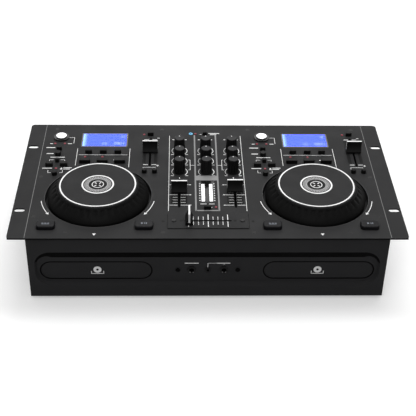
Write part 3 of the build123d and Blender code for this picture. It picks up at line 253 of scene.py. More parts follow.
def dress(node, material, edge=0.0):
    """Gives a CAD node its material and, where edge is set, softly rounded edges of that width."""
    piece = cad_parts[node]
    piece.data.materials.clear()
    piece.data.materials.append(material)
    if edge:
        weld = piece.modifiers.new("weld", "WELD")
        weld.merge_threshold = 0.002 * MM
        flat = piece.modifiers.new("flat", "DECIMATE")
        flat.decimate_type = "DISSOLVE"
        flat.angle_limit = radians(0.5)
        round_off = piece.modifiers.new("round", "BEVEL")
        round_off.width = edge
        round_off.segments = 2
        round_off.limit_method = "ANGLE"
        round_off.angle_limit = radians(50)
        round_off.harden_normals = False
    return piece


pan_coat = finish("pan_coat", pan_black, pan_grey, peel_scale, 0.5, 0.03 * MM)
for node in ("chassis", "rear_panel"):
    dress(node, pan_coat)

# ------------------------------------------------------------ feet
# Four turned rubber feet, matt and dusty.
foot_dark = (0.012, 0.012, 0.012, 1.0)
foot_light = (0.03, 0.03, 0.029, 1.0)
dress("feet", finish("foot_rubber", foot_dark, foot_light, 700.0, 0.85, 0.05 * MM), 0.5 * MM)

# ------------------------------------------------------------ boards, supply and fader bodies
# Glass fibre boards with green solder mask, and zinc plated bodies of the faders and
# potentiometers, which hang under the plate. What shows of them in the slots is black.
mask_dark = (0.006, 0.05, 0.022, 1.0)
mask_light = (0.015, 0.10, 0.045, 1.0)
zinc_dark = (0.42, 0.42, 0.40, 1.0)
zinc_light = (0.58, 0.58, 0.55, 1.0)
solder_mask = finish("solder_mask", mask_dark, mask_light, 500.0, 0.35, 0.02 * MM)
for node in ("control_boards", "main_board", "power_supply"):
    dress(node, solder_mask)
zinc = finish("zinc_plate", zinc_dark, zinc_light, 350.0, 0.38, 0.01 * MM, metallic=1.0)
plate_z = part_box("top_plate")[1].z
plate_under = plate_z - 2.0 * MM
slot_black = (0.004, 0.004, 0.004, 1.0)
slot_grey = (0.008, 0.008, 0.008, 1.0)
crown(zinc, plate_under - 12.0 * MM, slot_black, slot_grey, roughness=0.7)
dress("control_bodies", zinc)

# ------------------------------------------------------------ disc mechanisms, trays and spindles
# Black glass-filled mouldings with a fine sparked surface; the turntables are white acetal.
moulded_dark = (0.012, 0.012, 0.013, 1.0)
moulded_light = (0.024, 0.024, 0.025, 1.0)
acetal_dark = (0.60, 0.60, 0.57, 1.0)
acetal_light = (0.72, 0.72, 0.69, 1.0)
moulding = finish("black_moulding", moulded_dark, moulded_light, 1200.0, 0.55, 0.03 * MM)
acetal = finish("white_acetal", acetal_dark, acetal_light, 600.0, 0.4, 0.01 * MM)
inner_mouldings = ["jog_bearings", "clamp_bridges"]
for side in ("left", "right"):
    inner_mouldings += [f"{side}_disc_mechanism", f"{side}_tray", f"{side}_pickup_sled"]
    dress(f"{side}_spindle", acetal)
for node in inner_mouldings:
    dress(node, moulding)

# ------------------------------------------------------------ front panel
# One satin black moulding across the front, screwed to the pan, with a long drafted recess that
# holds the tray doors and the jacks.
front_dark = (0.018, 0.018, 0.019, 1.0)
front_light = (0.025, 0.025, 0.026, 1.0)
front_satin = finish("front_satin", front_dark, front_light, 1500.0, 0.6, 0.015 * MM, shine=0.07)
dress("front_panel", front_satin)

# ------------------------------------------------------------ tray doors
# Two long round-ended doors on the fronts of the trays, a shade blacker than the panel, with a
# black gap round each. Each carries a small printed pictogram of a disc over its tray.
door_dark = (0.016, 0.016, 0.017, 1.0)
door_light = (0.023, 0.023, 0.024, 1.0)
door_satin = finish("door_satin", door_dark, door_light, 1500.0, 0.55, 0.012 * MM, shine=0.07)
pictogram_inward = 1.4 * MM
ink_dark = (0.80, 0.80, 0.80, 1.0)
ink_light = (0.88, 0.88, 0.88, 1.0)
ink_thick = 0.06 * MM
white_ink = finish("white_ink", ink_dark, ink_light, 2500.0, 0.5, 0.004 * MM)
disc_outer = 5.0 * MM
disc_inner = 1.6 * MM
slot_line = 15.0 * MM
print_line = 0.9 * MM


def blank(name):
    """An empty mesh object in edit mode, ready for a print to be drawn in it."""
    bpy.ops.object.select_all(action="DESELECT")
    bpy.ops.mesh.primitive_plane_add(size=1.0, location=(0, 0, 0))
    piece = bpy.context.object
    piece.name = name
    bpy.ops.object.mode_set(mode="EDIT")
    bpy.ops.mesh.select_all(action="SELECT")
    bpy.ops.mesh.delete(type="VERT")
    return piece


def bar(x, y, long, wide, turn=0.0):
    """A printed bar, centred at x and y of the sheet that is being drawn."""
    bpy.ops.mesh.primitive_plane_add(size=1.0, location=(x, y, 0), rotation=(0, 0, turn))
    bpy.ops.transform.resize(
        value=(long, wide, 1.0),
        center_override=(x, y, 0),
        orient_matrix=((cos(turn), sin(turn), 0), (-sin(turn), cos(turn), 0), (0, 0, 1)),
        orient_type="GLOBAL",
        orient_matrix_type="GLOBAL",
    )


def line(x1, y1, x2, y2, wide):
    """A printed line from one point of the sheet to another."""
    run = Vector((x2 - x1, y2 - y1))
    bar((x1 + x2) / 2, (y1 + y2) / 2, run.length, wide, run.angle_signed(Vector((1, 0))))


def ring(x, y, outer, inner, steps=48):
    """A printed ring, or a full disc where inner is 0."""
    if inner == 0:
        bpy.ops.mesh.primitive_circle_add(
            vertices=steps, radius=outer, fill_type="NGON", location=(x, y, 0)
        )
        return
    bpy.ops.mesh.primitive_circle_add(vertices=steps, radius=outer, location=(x, y, 0))
    bpy.ops.mesh.extrude_edges_move()
    share = inner / outer
    bpy.ops.transform.resize(value=(share, share, 1.0), center_override=(x, y, 0))


def arc(x, y, radius, wide, start, end, steps=10):
    """A printed arc about x and y, between two angles that are counted from +X towards +Y."""
    for step in range(steps):
        a = start + (end - start) * step / steps
        b = start + (end - start) * (step + 1) / steps
        line(
            x + radius * cos(a),
            y + radius * sin(a),
            x + radius * cos(b),
            y + radius * sin(b),
            wide,
        )


def triangle(x, y, size, turn=0.0):
    """A printed triangle that points along the turn."""
    bpy.ops.mesh.primitive_circle_add(
        vertices=3,
        radius=size,
        fill_type="NGON",
        location=(x, y, 0),
        rotation=(0, 0, turn - pi / 2),
    )


def lay(piece, body, ink, place, facing="up", thick=ink_thick):
    """Gives a drawn sheet its thickness and ink, and lays it on a top or a front face."""
    bpy.ops.mesh.select_all(action="SELECT")
    bpy.ops.mesh.normals_make_consistent(inside=False)
    bpy.ops.object.mode_set(mode="OBJECT")
    bpy.ops.object.modifier_add(type="SOLIDIFY")
    piece.modifiers[-1].thickness = thick
    piece.modifiers[-1].offset = 0.0
    bpy.ops.object.modifier_apply(modifier=piece.modifiers[-1].name)
    stand = Matrix.Identity(4) if facing == "up" else Matrix.Rotation(pi / 2, 4, "X")
    piece.data.transform(Matrix.Translation(place) @ stand)
    piece.data.materials.clear()
    piece.data.materials.append(ink)
    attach(piece, body)
    return piece


# Near-black ink for the door gaps and the screw heads, also laid as painted shade on the recess's
# upper slope and on the plate's front edge.
black_and_shade_dark = (0.002, 0.002, 0.002, 1.0)
black_and_shade_grey = (0.004, 0.004, 0.004, 1.0)
black_and_shade_ink = finish("black_and_shade_dark", black_and_shade_dark, black_and_shade_grey, 900.0, 0.8, 0.0, shine=0.02)
gap_wide = 1.5 * MM
for side in ("left", "right"):
    dress(f"{side}_tray_door", door_satin, 0.4 * MM)
    low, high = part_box(f"{side}_tray_door")
    centre = (low + high) / 2
    radius = (high.z - low.z) / 2
    straight = (high.x - low.x) / 2 - radius
    gap = blank(f"{side}_door_gap")
    for end, turn in ((-1, pi), (1, 0)):
        bar(0, end * (radius + gap_wide / 2), 2 * straight, gap_wide)
        arc(end * straight, 0, radius + gap_wide / 2, gap_wide, turn - pi / 2, turn + pi / 2, 24)
    lay(gap, "console", black_and_shade_ink, (centre.x, low.y, centre.z), "front", 0.16 * MM)
    sign_sheet = blank(f"{side}_door_pictogram")
    ring(0, 1.0 * MM, disc_outer, disc_inner)
    bar(0, -disc_outer - 0.2 * MM, slot_line, print_line)
    for end in (-1, 1):
        bar(end * slot_line / 2, -disc_outer + 1.6 * MM, print_line, 4.5 * MM)
    sign_x = centre.x - pictogram_inward if centre.x > 0 else centre.x + pictogram_inward
    lay(sign_sheet, f"{side}_tray_slide", white_ink, (sign_x, low.y, centre.z), "front")

# ------------------------------------------------------------ upper slope of the recess
# The recess starts at its upper edge in a long slope that looks down. Its black is painted shade,
# where the upper edge shades the recess. It narrows round both ends of the recess and runs out
# there.
slope_half_long = 192.0 * MM
slope_corner = 20.0 * MM
slope_wide = 10.8 * MM
slope_end_wide = 1.6 * MM
slope_top_drop = 26.0 * MM
slope_steps = 16
panel_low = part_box("front_panel")[0]
recess_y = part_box("left_tray_door")[0].y
slope_proud = recess_y - panel_low.y
shade_slope = blank("recess_upper_slope_shade")
bpy.ops.mesh.primitive_grid_add(x_subdivisions=2 * slope_steps + 1, y_subdivisions=1, size=2.0)
sheet = bmesh.from_edit_mesh(shade_slope.data)
for corner in sheet.verts:
    step = round((corner.co.x + 1) / 2 * (2 * slope_steps + 1))
    end = -1 if step <= slope_steps else 1
    bend = (slope_steps - step if end < 0 else step - slope_steps - 1) / slope_steps
    turn = pi / 2 * (1 - bend)
    wide = slope_wide + (slope_end_wide - slope_wide) * bend
    lower = corner.co.y < 0
    reach = slope_corner - (wide if lower else 0)
    corner.co = (
        end * (slope_half_long + reach * cos(turn)),
        reach * sin(turn) - slope_corner,
        0.05 * MM if lower else slope_proud - 0.05 * MM,
    )
bmesh.update_edit_mesh(shade_slope.data)
lay(shade_slope, "console", black_and_shade_ink, (0, recess_y, plate_z - slope_top_drop), "front")

# ------------------------------------------------------------ front jacks and their marks
# Two large jacks and one small, with black nuts, and a pale printed bar and bracket above them.
jack_dark = (0.003, 0.003, 0.003, 1.0)
jack_light = (0.006, 0.006, 0.006, 1.0)
jack_gloss = finish("jack_gloss", jack_dark, jack_light, 900.0, 0.3, 0.01 * MM, shine=0.1)
dress("front_jacks", jack_gloss, 0.3 * MM)
# Grey ink for printed lines and frames, also laid as the painted glints in the jacks.
grey_ink_and_glint_dark = (0.20, 0.20, 0.20, 1.0)
grey_ink_and_glint_light = (0.27, 0.27, 0.27, 1.0)
grey_ink_and_glint = finish("grey_ink_and_glint", grey_ink_and_glint_dark, grey_ink_and_glint_light, 2500.0, 0.5, 0.004 * MM)
jack_x = 20.0 * MM
mark_above = 10.0 * MM
bracket_fall = 8.0 * MM
low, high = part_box("front_jacks")
jack_z = (low.z + high.z) / 2
front_marks = blank("front_marks")
bar(-jack_x, mark_above, 17 * MM, 1.1 * MM)
bar(0.95 * jack_x, mark_above, 17 * MM, 1.1 * MM)
line(0, mark_above, jack_x - 9 * MM, mark_above, 0.5 * MM)
line(0, mark_above, 0, mark_above - bracket_fall, 0.7 * MM)
line(jack_x, mark_above, jack_x, mark_above - 2.5 * MM, 0.7 * MM)
lay(front_marks, "console", white_ink, (0, recess_y, jack_z), "front")
# Two pale marks low in each large jack are painted glints, a painted highlight of its sprung
# contacts.
glints = blank("jack_contact_glints_painted")
for x in (-jack_x, jack_x):
    for side_of_jack in (-1, 1):
        bar(x + side_of_jack * 1.9 * MM, -3.1 * MM, 1.3 * MM, 1.0 * MM, side_of_jack * 0.7)
lay(glints, "console", grey_ink_and_glint, (0, low.y, jack_z), "front", 0.1 * MM)
# The heads of the panel's two screws are matt black.
front_screw_x = 37.0 * MM
screw_spots = blank("front_screw_sockets")
for x in (-front_screw_x, front_screw_x):
    ring(x, 0, 3.0 * MM, 0, 28)
screw_face_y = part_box("panel_screws")[0].y
lay(screw_spots, "console", black_and_shade_ink, (0, screw_face_y, jack_z), "front", 0.1 * MM)

# ------------------------------------------------------------ top plate
# A flat steel plate that is screwed down on the pan and runs out into the two rack ears. It has a
# satin dark grey powder coat, and its lines and marks are screen printed.
plate_dark = (0.019, 0.019, 0.0195, 1.0)
plate_light = (0.027, 0.027, 0.0275, 1.0)
plate_coat = finish("plate_coat", plate_dark, plate_light, 1100.0, 0.6, 0.02 * MM, shine=0.08)
dress("top_plate", plate_coat, 0.25 * MM)
dress("crossfader_plate", plate_coat, 0.15 * MM)
plate_low, plate_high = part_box("top_plate")
plate_front = plate_low.y
jog_low, jog_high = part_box("left_jog_wheel")
deck_x = -(jog_low.x + jog_high.x) / 2
decks = {"left": -deck_x, "right": deck_x}


def away(distance):
    """Y of a place on the plate, from its distance in millimetres to the plate's front edge."""
    return plate_front + distance * MM


# The plate's front edge is painted black as painted shade, for the side of the plate that faces
# away from the light.
edge_shade_sheet = blank("plate_front_edge_shade")
bar(0, 0, plate_high.x - plate_low.x - 2 * MM, plate_high.z - plate_low.z - 0.2 * MM)
edge_middle = (0, plate_front + 0.02 * MM, (plate_high.z + plate_low.z) / 2)
lay(edge_shade_sheet, "console", black_and_shade_ink, edge_middle, "front")
edge_line_x = 220.0 * MM
edge_line_wide = 0.5 * MM
edge_lines = blank("plate_edge_lines")
for sign in (-1, 1):
    line(sign * edge_line_x, away(1), sign * edge_line_x, away(261), edge_line_wide)
lay(edge_lines, "console", grey_ink_and_glint, (0, 0, plate_z))

# ------------------------------------------------------------ black bands along the faders
# Matt black bands that are printed beside the fader slots, under the white ticks, and a black gap
# line round the small plate of the crossfader.
band_black = (0.006, 0.006, 0.006, 1.0)
band_grey = (0.010, 0.010, 0.010, 1.0)
band_ink = finish("black_ink", band_black, band_grey, 2500.0, 0.6, 0.004 * MM, shine=0.1)
channel_x = 35.5 * MM
pitch_x = 62.9 * MM
bands = blank("fader_bands")
for sign in (-1, 1):
    for side_of_slot in (-1, 1):
        channel_band_x = sign * channel_x + side_of_slot * 5.9 * MM
        pitch_band_x = sign * deck_x + pitch_x + side_of_slot * 7.8 * MM
        bar(channel_band_x, away(92), 8.8 * MM, 46 * MM)
        bar(pitch_band_x, away(195.5), 4.4 * MM, 63 * MM)
cross_low, cross_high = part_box("crossfader_plate")
cross_middle = (cross_low + cross_high) / 2
cross_long = cross_high.x - cross_low.x
cross_deep = cross_high.y - cross_low.y
gap_line = 0.9 * MM
spot_radius = 1.9 * MM
outer_spot_x = 55 * MM
inner_spot_x = 33 * MM
for sign in (-1, 1):
    gap_y = cross_middle.y + sign * (cross_deep + gap_line) / 2
    bar(0, gap_y, cross_long + 2 * gap_line, gap_line)
    bar(sign * (cross_long + gap_line) / 2, cross_middle.y, gap_line, cross_deep)
    ring(sign * outer_spot_x, cross_middle.y, spot_radius, 0, 20)
lay(bands, "console", band_ink, (0, 0, plate_z), thick=0.04 * MM)
cross_spots = blank("crossfader_spots")
for sign in (-1, 1):
    ring(sign * inner_spot_x, cross_middle.y, spot_radius, 0, 20)
lay(cross_spots, "console", band_ink, (0, 0, cross_high.z))

# ------------------------------------------------------------ printed marks of the decks
# Brackets round the buttons, short bars in the place of words, signs and ticks of the pitch fader,
# and the two curved arrows beside each jog wheel, all screen printed in white.
fine = 0.6 * MM
hair = 0.5 * MM
wheel_y = away(89.5)
arrow_radius = 71.6 * MM
arrow_start = radians(190)
arrow_end = radians(213)
arrow_line = 0.9 * MM
arrow_head = 2.6 * MM
cross_x = -60.1
pitch_slot_x = 62.9
minus_x = 73.4
# All places are in millimetres, from the middle of the deck and from the plate's front edge.
# Each line: the places of its two ends and its width. Each bar: its place, length and width.
deck_lines = [
    (-35.1, 158, -35.1, 200, fine),
    (35.4, 154, 35.4, 200, fine),
    (-32.6, 184.2, 32.4, 184.2, hair),
    (-48.6, 228, -41.6, 228, hair),
    (-41.6, 228, -41.6, 213, fine),
    (54.4, 154, 70.4, 154, fine),
]
deck_bars = [
    (-23.6, 171.8, 4, 1.4),
    (-0.6, 171.8, 5, 1.4),
    (21.4, 171.8, 13.5, 1.6),
    (-71.6, 212, 4, 1.2),
    (-46.6, 212, 5.5, 1.2),
    (-71.6, 202, 12, 1.5),
    (-71.1, 187, 9, 1.5),
    (-60.1, 178, 19, 1.2),
    (-71.1, 151.5, 13, 1.4),
    (-52.6, 148.6, 3.0, 0.8),
    (-44.6, 152.6, 11, 1.2),
    (-45.6, 149.6, 9, 1.2),
    (minus_x, 158, 3.4, 0.9),
    (minus_x, 158, 0.9, 3.4),
    (minus_x, 227, 3.4, 0.9),
]
for sign in (-1, 1):
    deck_lines += [
        (cross_x + sign * 4.5, 172, cross_x + sign * 10, 172, hair),
        (cross_x + sign * 10, 172, cross_x + sign * 10, 167, hair),
        (cross_x + sign * 9.5, 147, cross_x + sign * 9.5, 141, hair),
        (cross_x + sign * 9.5, 141, cross_x + sign * 5.5, 141, hair),
        (62.4 + sign * 8, 154, 62.4 + sign * 8, 150.5, fine),
    ]
    for distance in (160.5, 192, 223.5):
        deck_bars.append((pitch_slot_x + sign * 5.6, distance, 6.4, 0.9))
# Each triangle: its place, size and the way that it points.
deck_triangles = (
    (-69.2, 166.2, 2.4, pi),
    (-49.9, 166.4, 2.4, 0),
    (-60.2, 190.6, 2.1, pi / 2),
    (-52.6, 151, 2.0, pi / 2),
    (0, 8.5, 2.6, -pi / 2),
)
for side, x in decks.items():
    deck_marks = blank(f"{side}_deck_marks")
    for x1, distance1, x2, distance2, wide in deck_lines:
        line(x + x1 * MM, away(distance1), x + x2 * MM, away(distance2), wide)
    for place_x, distance, long, wide in deck_bars:
        bar(x + place_x * MM, away(distance), long * MM, wide * MM)
    for place_x, distance, size, turn in deck_triangles:
        triangle(x + place_x * MM, away(distance), size * MM, turn)
    # Curved arrows for the way that the wheel bends the pitch.
    for sign in (-1, 1):
        start = arrow_start if sign < 0 else pi - arrow_start
        end = arrow_end if sign < 0 else pi - arrow_end
        arc(x, wheel_y, arrow_radius, arrow_line, start, end)
        head_x = x + arrow_radius * cos(end)
        head_y = wheel_y + arrow_radius * sin(end)
        triangle(head_x, head_y, arrow_head, end - sign * pi / 2)
    lay(deck_marks, "console", white_ink, (0, 0, plate_z))

# ------------------------------------------------------------ printed marks of the mixer
# Long lines at both sides, a frame round the middle column, scales round the knobs and along the
# faders, and plain bars in the place of words.
scale_radius = 10.2 * MM
scale_start = radians(225)
scale_end = radians(-45)
knob_rows = ("gain", "treble", "bass")
tick_start = 2
tick_pitch = 5.625
mixer_marks = blank("mixer_marks")
mixer_edge_x = 48.8 * MM
for x in (-mixer_edge_x, mixer_edge_x):
    line(x, away(56), x, away(233), fine)
for column in ("left", "middle", "right"):
    for row in knob_rows:
        low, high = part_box(f"{column}_{row}_knob")
        centre = (low + high) / 2
        # A scale that is thicker in its second half, and a dash at each end.
        arc(centre.x, centre.y, scale_radius, 0.5 * MM, scale_start, pi / 2, 9)
        arc(centre.x, centre.y, scale_radius, 0.9 * MM, pi / 2, scale_end, 9)
        for sign in (-1, 1):
            bar(centre.x + sign * 9.4 * MM, centre.y - 9.2 * MM, 3.7 * MM, 0.9 * MM)
    for sign in (-1, 1):
        bar(centre.x + sign * 8.5 * MM, away(223), 2.6 * MM, 1.2 * MM)
for sign in (-1, 1):
    bracket_x = sign * 21 * MM
    line(bracket_x, away(148), bracket_x, away(172), fine)
    line(bracket_x, away(159), sign * 15 * MM, away(159), fine)
    for end in (148, 172):
        line(bracket_x, away(end), sign * 23.5 * MM, away(end), fine)
    bar(sign * 35 * MM, away(129), 0.9 * MM, 3.0 * MM)
    for step in range(-4, 5):
        reach = 12.4 if step in (-4, 0, 4) else 8.2
        for end in (-1, 1):
            bar(
                sign * channel_x + end * (reach + tick_start) / 2 * MM,
                away(91 + tick_pitch * step),
                (reach - tick_start) * MM,
                (0.7 if step in (-4, 0, 4) else 0.45) * MM,
            )
    for distance in (68.5, 91, 113.5):
        bar(sign * 21.5 * MM, away(distance), 2.4 * MM, 1.2 * MM)
# Bars in the place of words: x, distance from the front edge, length and width in millimetres.
word_bars = (
    (12.5, 239.6, 15, 1.4),
    (11.5, 236.4, 9, 1.4),
    (-6, 237, 2.5, 0.8),
    (-5.0, 71, 8, 0.9),
    (5.4, 71, 7, 0.9),
    (4.8, 63.5, 2.2, 0.8),
)
for place_x, distance, long, wide in word_bars:
    bar(place_x * MM, away(distance), long * MM, wide * MM)
lay(mixer_marks, "console", white_ink, (0, 0, plate_z))

frame_half = 14.5 * MM
frame_wide = 2.0 * MM
mixer_frame = blank("mixer_frame")
for sign in (-1, 1):
    line(sign * frame_half, away(56), sign * frame_half, away(235), frame_wide)
line(-frame_half, away(57), frame_half, away(57), frame_wide)
bar(0, away(129), 27 * MM, 11 * MM)
lay(mixer_frame, "console", grey_ink_and_glint, (0, 0, plate_z))

slot_half = 1.6
slot_distance = 34.5
cross_tick_pitch = 6 * MM
cross_marks = blank("crossfader_marks")
for step in range(-4, 5):
    reach = 12.6 if step in (-4, 0, 4) else 8.4
    for sign in (-1, 1):
        bar(
            step * cross_tick_pitch,
            away(slot_distance + sign * (reach + slot_half) / 2),
            (0.9 if step in (-4, 0, 4) else 0.6) * MM,
            (reach - slot_half) * MM,
        )
lay(cross_marks, "console", white_ink, (0, 0, cross_high.z))

# ------------------------------------------------------------ screws
# Black oxide countersunk screws in the plate, and pan head screws in the front and the sides.
oxide_dark = (0.006, 0.006, 0.006, 1.0)
oxide_light = (0.018, 0.018, 0.018, 1.0)
oxide = finish("black_oxide", oxide_dark, oxide_light, 600.0, 0.4, 0.02 * MM, metallic=0.4)
dress("panel_screws", oxide, 0.2 * MM)

# ------------------------------------------------------------ displays
# A backlit blue display behind a clear acrylic window. The light comes in at the left edge, where
# the blue is nearly white, and pale segments show in it.
lit_blue = (0.15, 0.235, 0.86, 1.0)
lit_deep = (0.13, 0.20, 0.81, 1.0)
lit_pale = (0.45, 0.62, 1.0, 1.0)
lit_half_x = 29.5 * MM
lit_half_y = 15.6 * MM
glow_reach = 6.5 * MM
window_tint = (0.84, 0.89, 1.0, 1.0)
window_clear = (0.88, 0.92, 1.0, 1.0)
display_glow = 0.84
backlight = bpy.data.materials.new("display_backlight")
backlight.use_nodes = True
nodes, links = backlight.node_tree.nodes, backlight.node_tree.links
shader = nodes["Principled BSDF"]
shader.inputs["Roughness"].default_value = 0.3
shader.inputs["Emission Strength"].default_value = display_glow
place = nodes.new("ShaderNodeTexCoord")
apart = nodes.new("ShaderNodeSeparateXYZ")
links.new(place.outputs["Object"], apart.inputs[0])
side_sign = nodes.new("ShaderNodeMath")
side_sign.operation = "SIGN"
links.new(apart.outputs["X"], side_sign.inputs[0])
from_middle = nodes.new("ShaderNodeMath")
from_middle.operation = "MULTIPLY_ADD"
from_middle.inputs[1].default_value = -deck_x
links.new(side_sign.outputs[0], from_middle.inputs[0])
links.new(apart.outputs["X"], from_middle.inputs[2])
edge = nodes.new("ShaderNodeMapRange")
edge.interpolation_type = "SMOOTHSTEP"
edge.inputs["From Min"].default_value = -lit_half_x
edge.inputs["From Max"].default_value = -lit_half_x + glow_reach
links.new(from_middle.outputs[0], edge.inputs["Value"])
cells = nodes.new("ShaderNodeTexNoise")
cells.inputs["Scale"].default_value = 160.0
links.new(place.outputs["Object"], cells.inputs["Vector"])
field = nodes.new("ShaderNodeMix")
field.data_type = "RGBA"
field.inputs["A"].default_value = lit_blue
field.inputs["B"].default_value = lit_deep
links.new(cells.outputs["Fac"], field.inputs["Factor"])
tone = nodes.new("ShaderNodeMix")
tone.data_type = "RGBA"
tone.inputs["A"].default_value = lit_pale
links.new(field.outputs["Result"], tone.inputs["B"])
links.new(edge.outputs["Result"], tone.inputs["Factor"])
links.new(tone.outputs["Result"], shader.inputs["Base Color"])
links.new(tone.outputs["Result"], shader.inputs["Emission Color"])
dress("display_modules", backlight)

window = finish(
    "display_window", window_tint, window_clear, 250.0, 0.03, 0.0, shine=0.3, spread=0.01
)
shader = window.node_tree.nodes["Principled BSDF"]
shader.inputs["Transmission Weight"].default_value = 1.0
shader.inputs["IOR"].default_value = 1.1
dress("display_windows", window)

# A glossy black border is printed round each window, and a few pale digits are lit in the display.
border_black = (0.004, 0.004, 0.005, 1.0)
border_grey = (0.008, 0.008, 0.009, 1.0)
border_gloss = finish("window_border", border_black, border_grey, 600.0, 0.2, 0.0, shine=0.3)
digit_pale = (0.40, 0.52, 1.0, 1.0)
window_low, window_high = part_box("display_windows")
window_y = (window_low.y + window_high.y) / 2
window_half_y = (window_high.y - window_low.y) / 2
window_half_x = window_high.x - deck_x
lit_digit = bpy.data.materials.new("lit_digit")
lit_digit.use_nodes = True
nodes, links = lit_digit.node_tree.nodes, lit_digit.node_tree.links
shader = nodes["Principled BSDF"]
place = nodes.new("ShaderNodeTexCoord")
cells = nodes.new("ShaderNodeTexNoise")
cells.inputs["Scale"].default_value = 700.0
links.new(place.outputs["Object"], cells.inputs["Vector"])
tone = nodes.new("ShaderNodeMix")
tone.data_type = "RGBA"
tone.inputs["A"].default_value = digit_pale
tone.inputs["B"].default_value = lit_blue
links.new(cells.outputs["Fac"], tone.inputs["Factor"])
links.new(tone.outputs["Result"], shader.inputs["Base Color"])
links.new(tone.outputs["Result"], shader.inputs["Emission Color"])
shader.inputs["Emission Strength"].default_value = 0.9
shader.inputs["Roughness"].default_value = 0.3
# Bars of a digit, each at its place in halves of the digit's width and height, upright or not.
digit_bars = {
    "top": (0, 2, False),
    "middle": (0, 0, False),
    "foot": (0, -2, False),
    "upper left": (-1, 1, True),
    "upper right": (1, 1, True),
    "lower left": (-1, -1, True),
    "lower right": (1, -1, True),
}
digits_shown = {
    "0": ("top", "foot", "upper left", "upper right", "lower left", "lower right"),
    "1": ("upper right", "lower right"),
    "2": ("top", "middle", "foot", "upper right", "lower left"),
    "4": ("middle", "upper left", "upper right", "lower right"),
    "8": tuple(digit_bars),
}
# Each row of digits: its text, right end, foot and height in millimetres from the window's middle.
digit_rows = (("0804", 26.5, -11.5, 5.2), ("12", 26.5, 6.5, 4.6), ("20", 3.0, -11.5, 5.2))
digit_pitch = 3.6
digit_half = 1.1
digit_long = 2.2
digit_line = 0.45
for side, x in decks.items():
    border = blank(f"{side}_display_border")
    for sign in (-1, 1):
        bar(
            x + sign * (window_half_x + lit_half_x) / 2,
            window_y,
            window_half_x - lit_half_x,
            2 * window_half_y,
        )
        bar(
            x,
            window_y + sign * (window_half_y + lit_half_y) / 2,
            2 * lit_half_x,
            window_half_y - lit_half_y,
        )
    lay(border, "console", border_gloss, (0, 0, window_high.z))
    digits = blank(f"{side}_display_digits")
    for text, right, foot, tall in digit_rows:
        for place_from_right, shown in enumerate(reversed(text)):
            digit_x = x + (right - digit_pitch * place_from_right - 1.3) * MM
            digit_y = window_y + (foot + tall / 2) * MM
            for part in digits_shown[shown]:
                across, up, upright = digit_bars[part]
                across_long = digit_line if upright else digit_long
                up_long = tall / 2 if upright else digit_line
                bar(
                    digit_x + across * digit_half * MM,
                    digit_y + up * tall / 4 * MM,
                    across_long * MM,
                    up_long * MM,
                )
    lay(digits, "console", lit_digit, (0, 0, window_high.z))

# ------------------------------------------------------------ status lights
# Small red lenses, dimly lit.
light_dark = (0.11, 0.008, 0.014, 1.0)
light_bright = (0.22, 0.02, 0.035, 1.0)
red_lens = finish("red_lens", light_dark, light_bright, 900.0, 0.3, 0.01 * MM)
cyan = (0.12, 0.40, 0.62, 1.0)
pairing_place = (-19.5 * MM, plate_front + 238 * MM, plate_z)
pairing_reach = 4.0 * MM
nodes, links = red_lens.node_tree.nodes, red_lens.node_tree.links
shader = nodes["Principled BSDF"]
place = nodes.new("ShaderNodeTexCoord")
gap = nodes.new("ShaderNodeVectorMath")
gap.operation = "DISTANCE"
gap.inputs[1].default_value = pairing_place
links.new(place.outputs["Object"], gap.inputs[0])
near = nodes.new("ShaderNodeMath")
near.operation = "LESS_THAN"
near.inputs[1].default_value = pairing_reach
links.new(gap.outputs["Value"], near.inputs[0])
tone = nodes.new("ShaderNodeMix")
tone.data_type = "RGBA"
tone.inputs["B"].default_value = cyan
links.new(near.outputs[0], tone.inputs["Factor"])
links.new(shader.inputs["Base Color"].links[0].from_socket, tone.inputs["A"])
links.new(tone.outputs["Result"], shader.inputs["Base Color"])
links.new(tone.outputs["Result"], shader.inputs["Emission Color"])
shader.inputs["Emission Strength"].default_value = 0.3
dress("indicator_lights", red_lens)
spot_dark = (0.010, 0.05, 0.13, 1.0)
spot_light = (0.02, 0.08, 0.19, 1.0)
spot_ink = finish("pairing_spot", spot_dark, spot_light, 2500.0, 0.4, 0.0)
pairing_spot = blank("pairing_spot")
ring(0, 0, 1.1 * MM, 0, 20)
lens_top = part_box("indicator_lights")[1].z
lay(pairing_spot, "console", spot_ink, (pairing_place[0], pairing_place[1], lens_top))

# ------------------------------------------------------------ level meter
# A smoked window, with two columns of white bars lit below it and small marks at its sides.
smoke_dark = (0.004, 0.004, 0.004, 1.0)
smoke_light = (0.008, 0.008, 0.008, 1.0)
smoked = finish("smoked_window", smoke_dark, smoke_light, 600.0, 0.15, 0.0)
dress("level_meter", smoked)
meter_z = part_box("level_meter")[1].z
segment_dark = (0.80, 0.80, 0.81, 1.0)
segment_light = (0.90, 0.90, 0.91, 1.0)
lit_white = finish("lit_white", segment_dark, segment_light, 500.0, 0.3, 0.0)
shader = lit_white.node_tree.nodes["Principled BSDF"]
shader.inputs["Emission Color"].default_value = room_white
shader.inputs["Emission Strength"].default_value = 0.55
meter_bars = blank("meter_bars")
meter_foot = 79
bar_x = 5.0 * MM
bar_pitch = 3.85
for x in (-bar_x, bar_x):
    for step in range(10):
        bar(x, away(meter_foot + bar_pitch * step), 4.1 * MM, 3.6 * MM)
lay(meter_bars, "console", lit_white, (0, 0, meter_z))
meter_marks = blank("meter_marks")
mark_x = 9.3 * MM
mark_pitch = 5.3
for x in (-mark_x, mark_x):
    for step in range(8):
        bar(x, away(meter_foot + mark_pitch * step), 1.5 * MM, 1.2 * MM)
lay(meter_marks, "console", white_ink, (0, 0, meter_z))

# ------------------------------------------------------------ sockets and mains fittings
# Nickel plated phono barrels in black blocks, and a black inlet and rocker.
nickel_dark = (0.55, 0.54, 0.51, 1.0)
nickel_light = (0.68, 0.67, 0.64, 1.0)
nickel = finish("nickel", nickel_dark, nickel_light, 500.0, 0.22, 0.005 * MM, metallic=1.0)
dress("rca_sockets", nickel)
dress("mains_fittings", moulding, 0.2 * MM)
dress("power_switch", jack_gloss, 0.3 * MM)
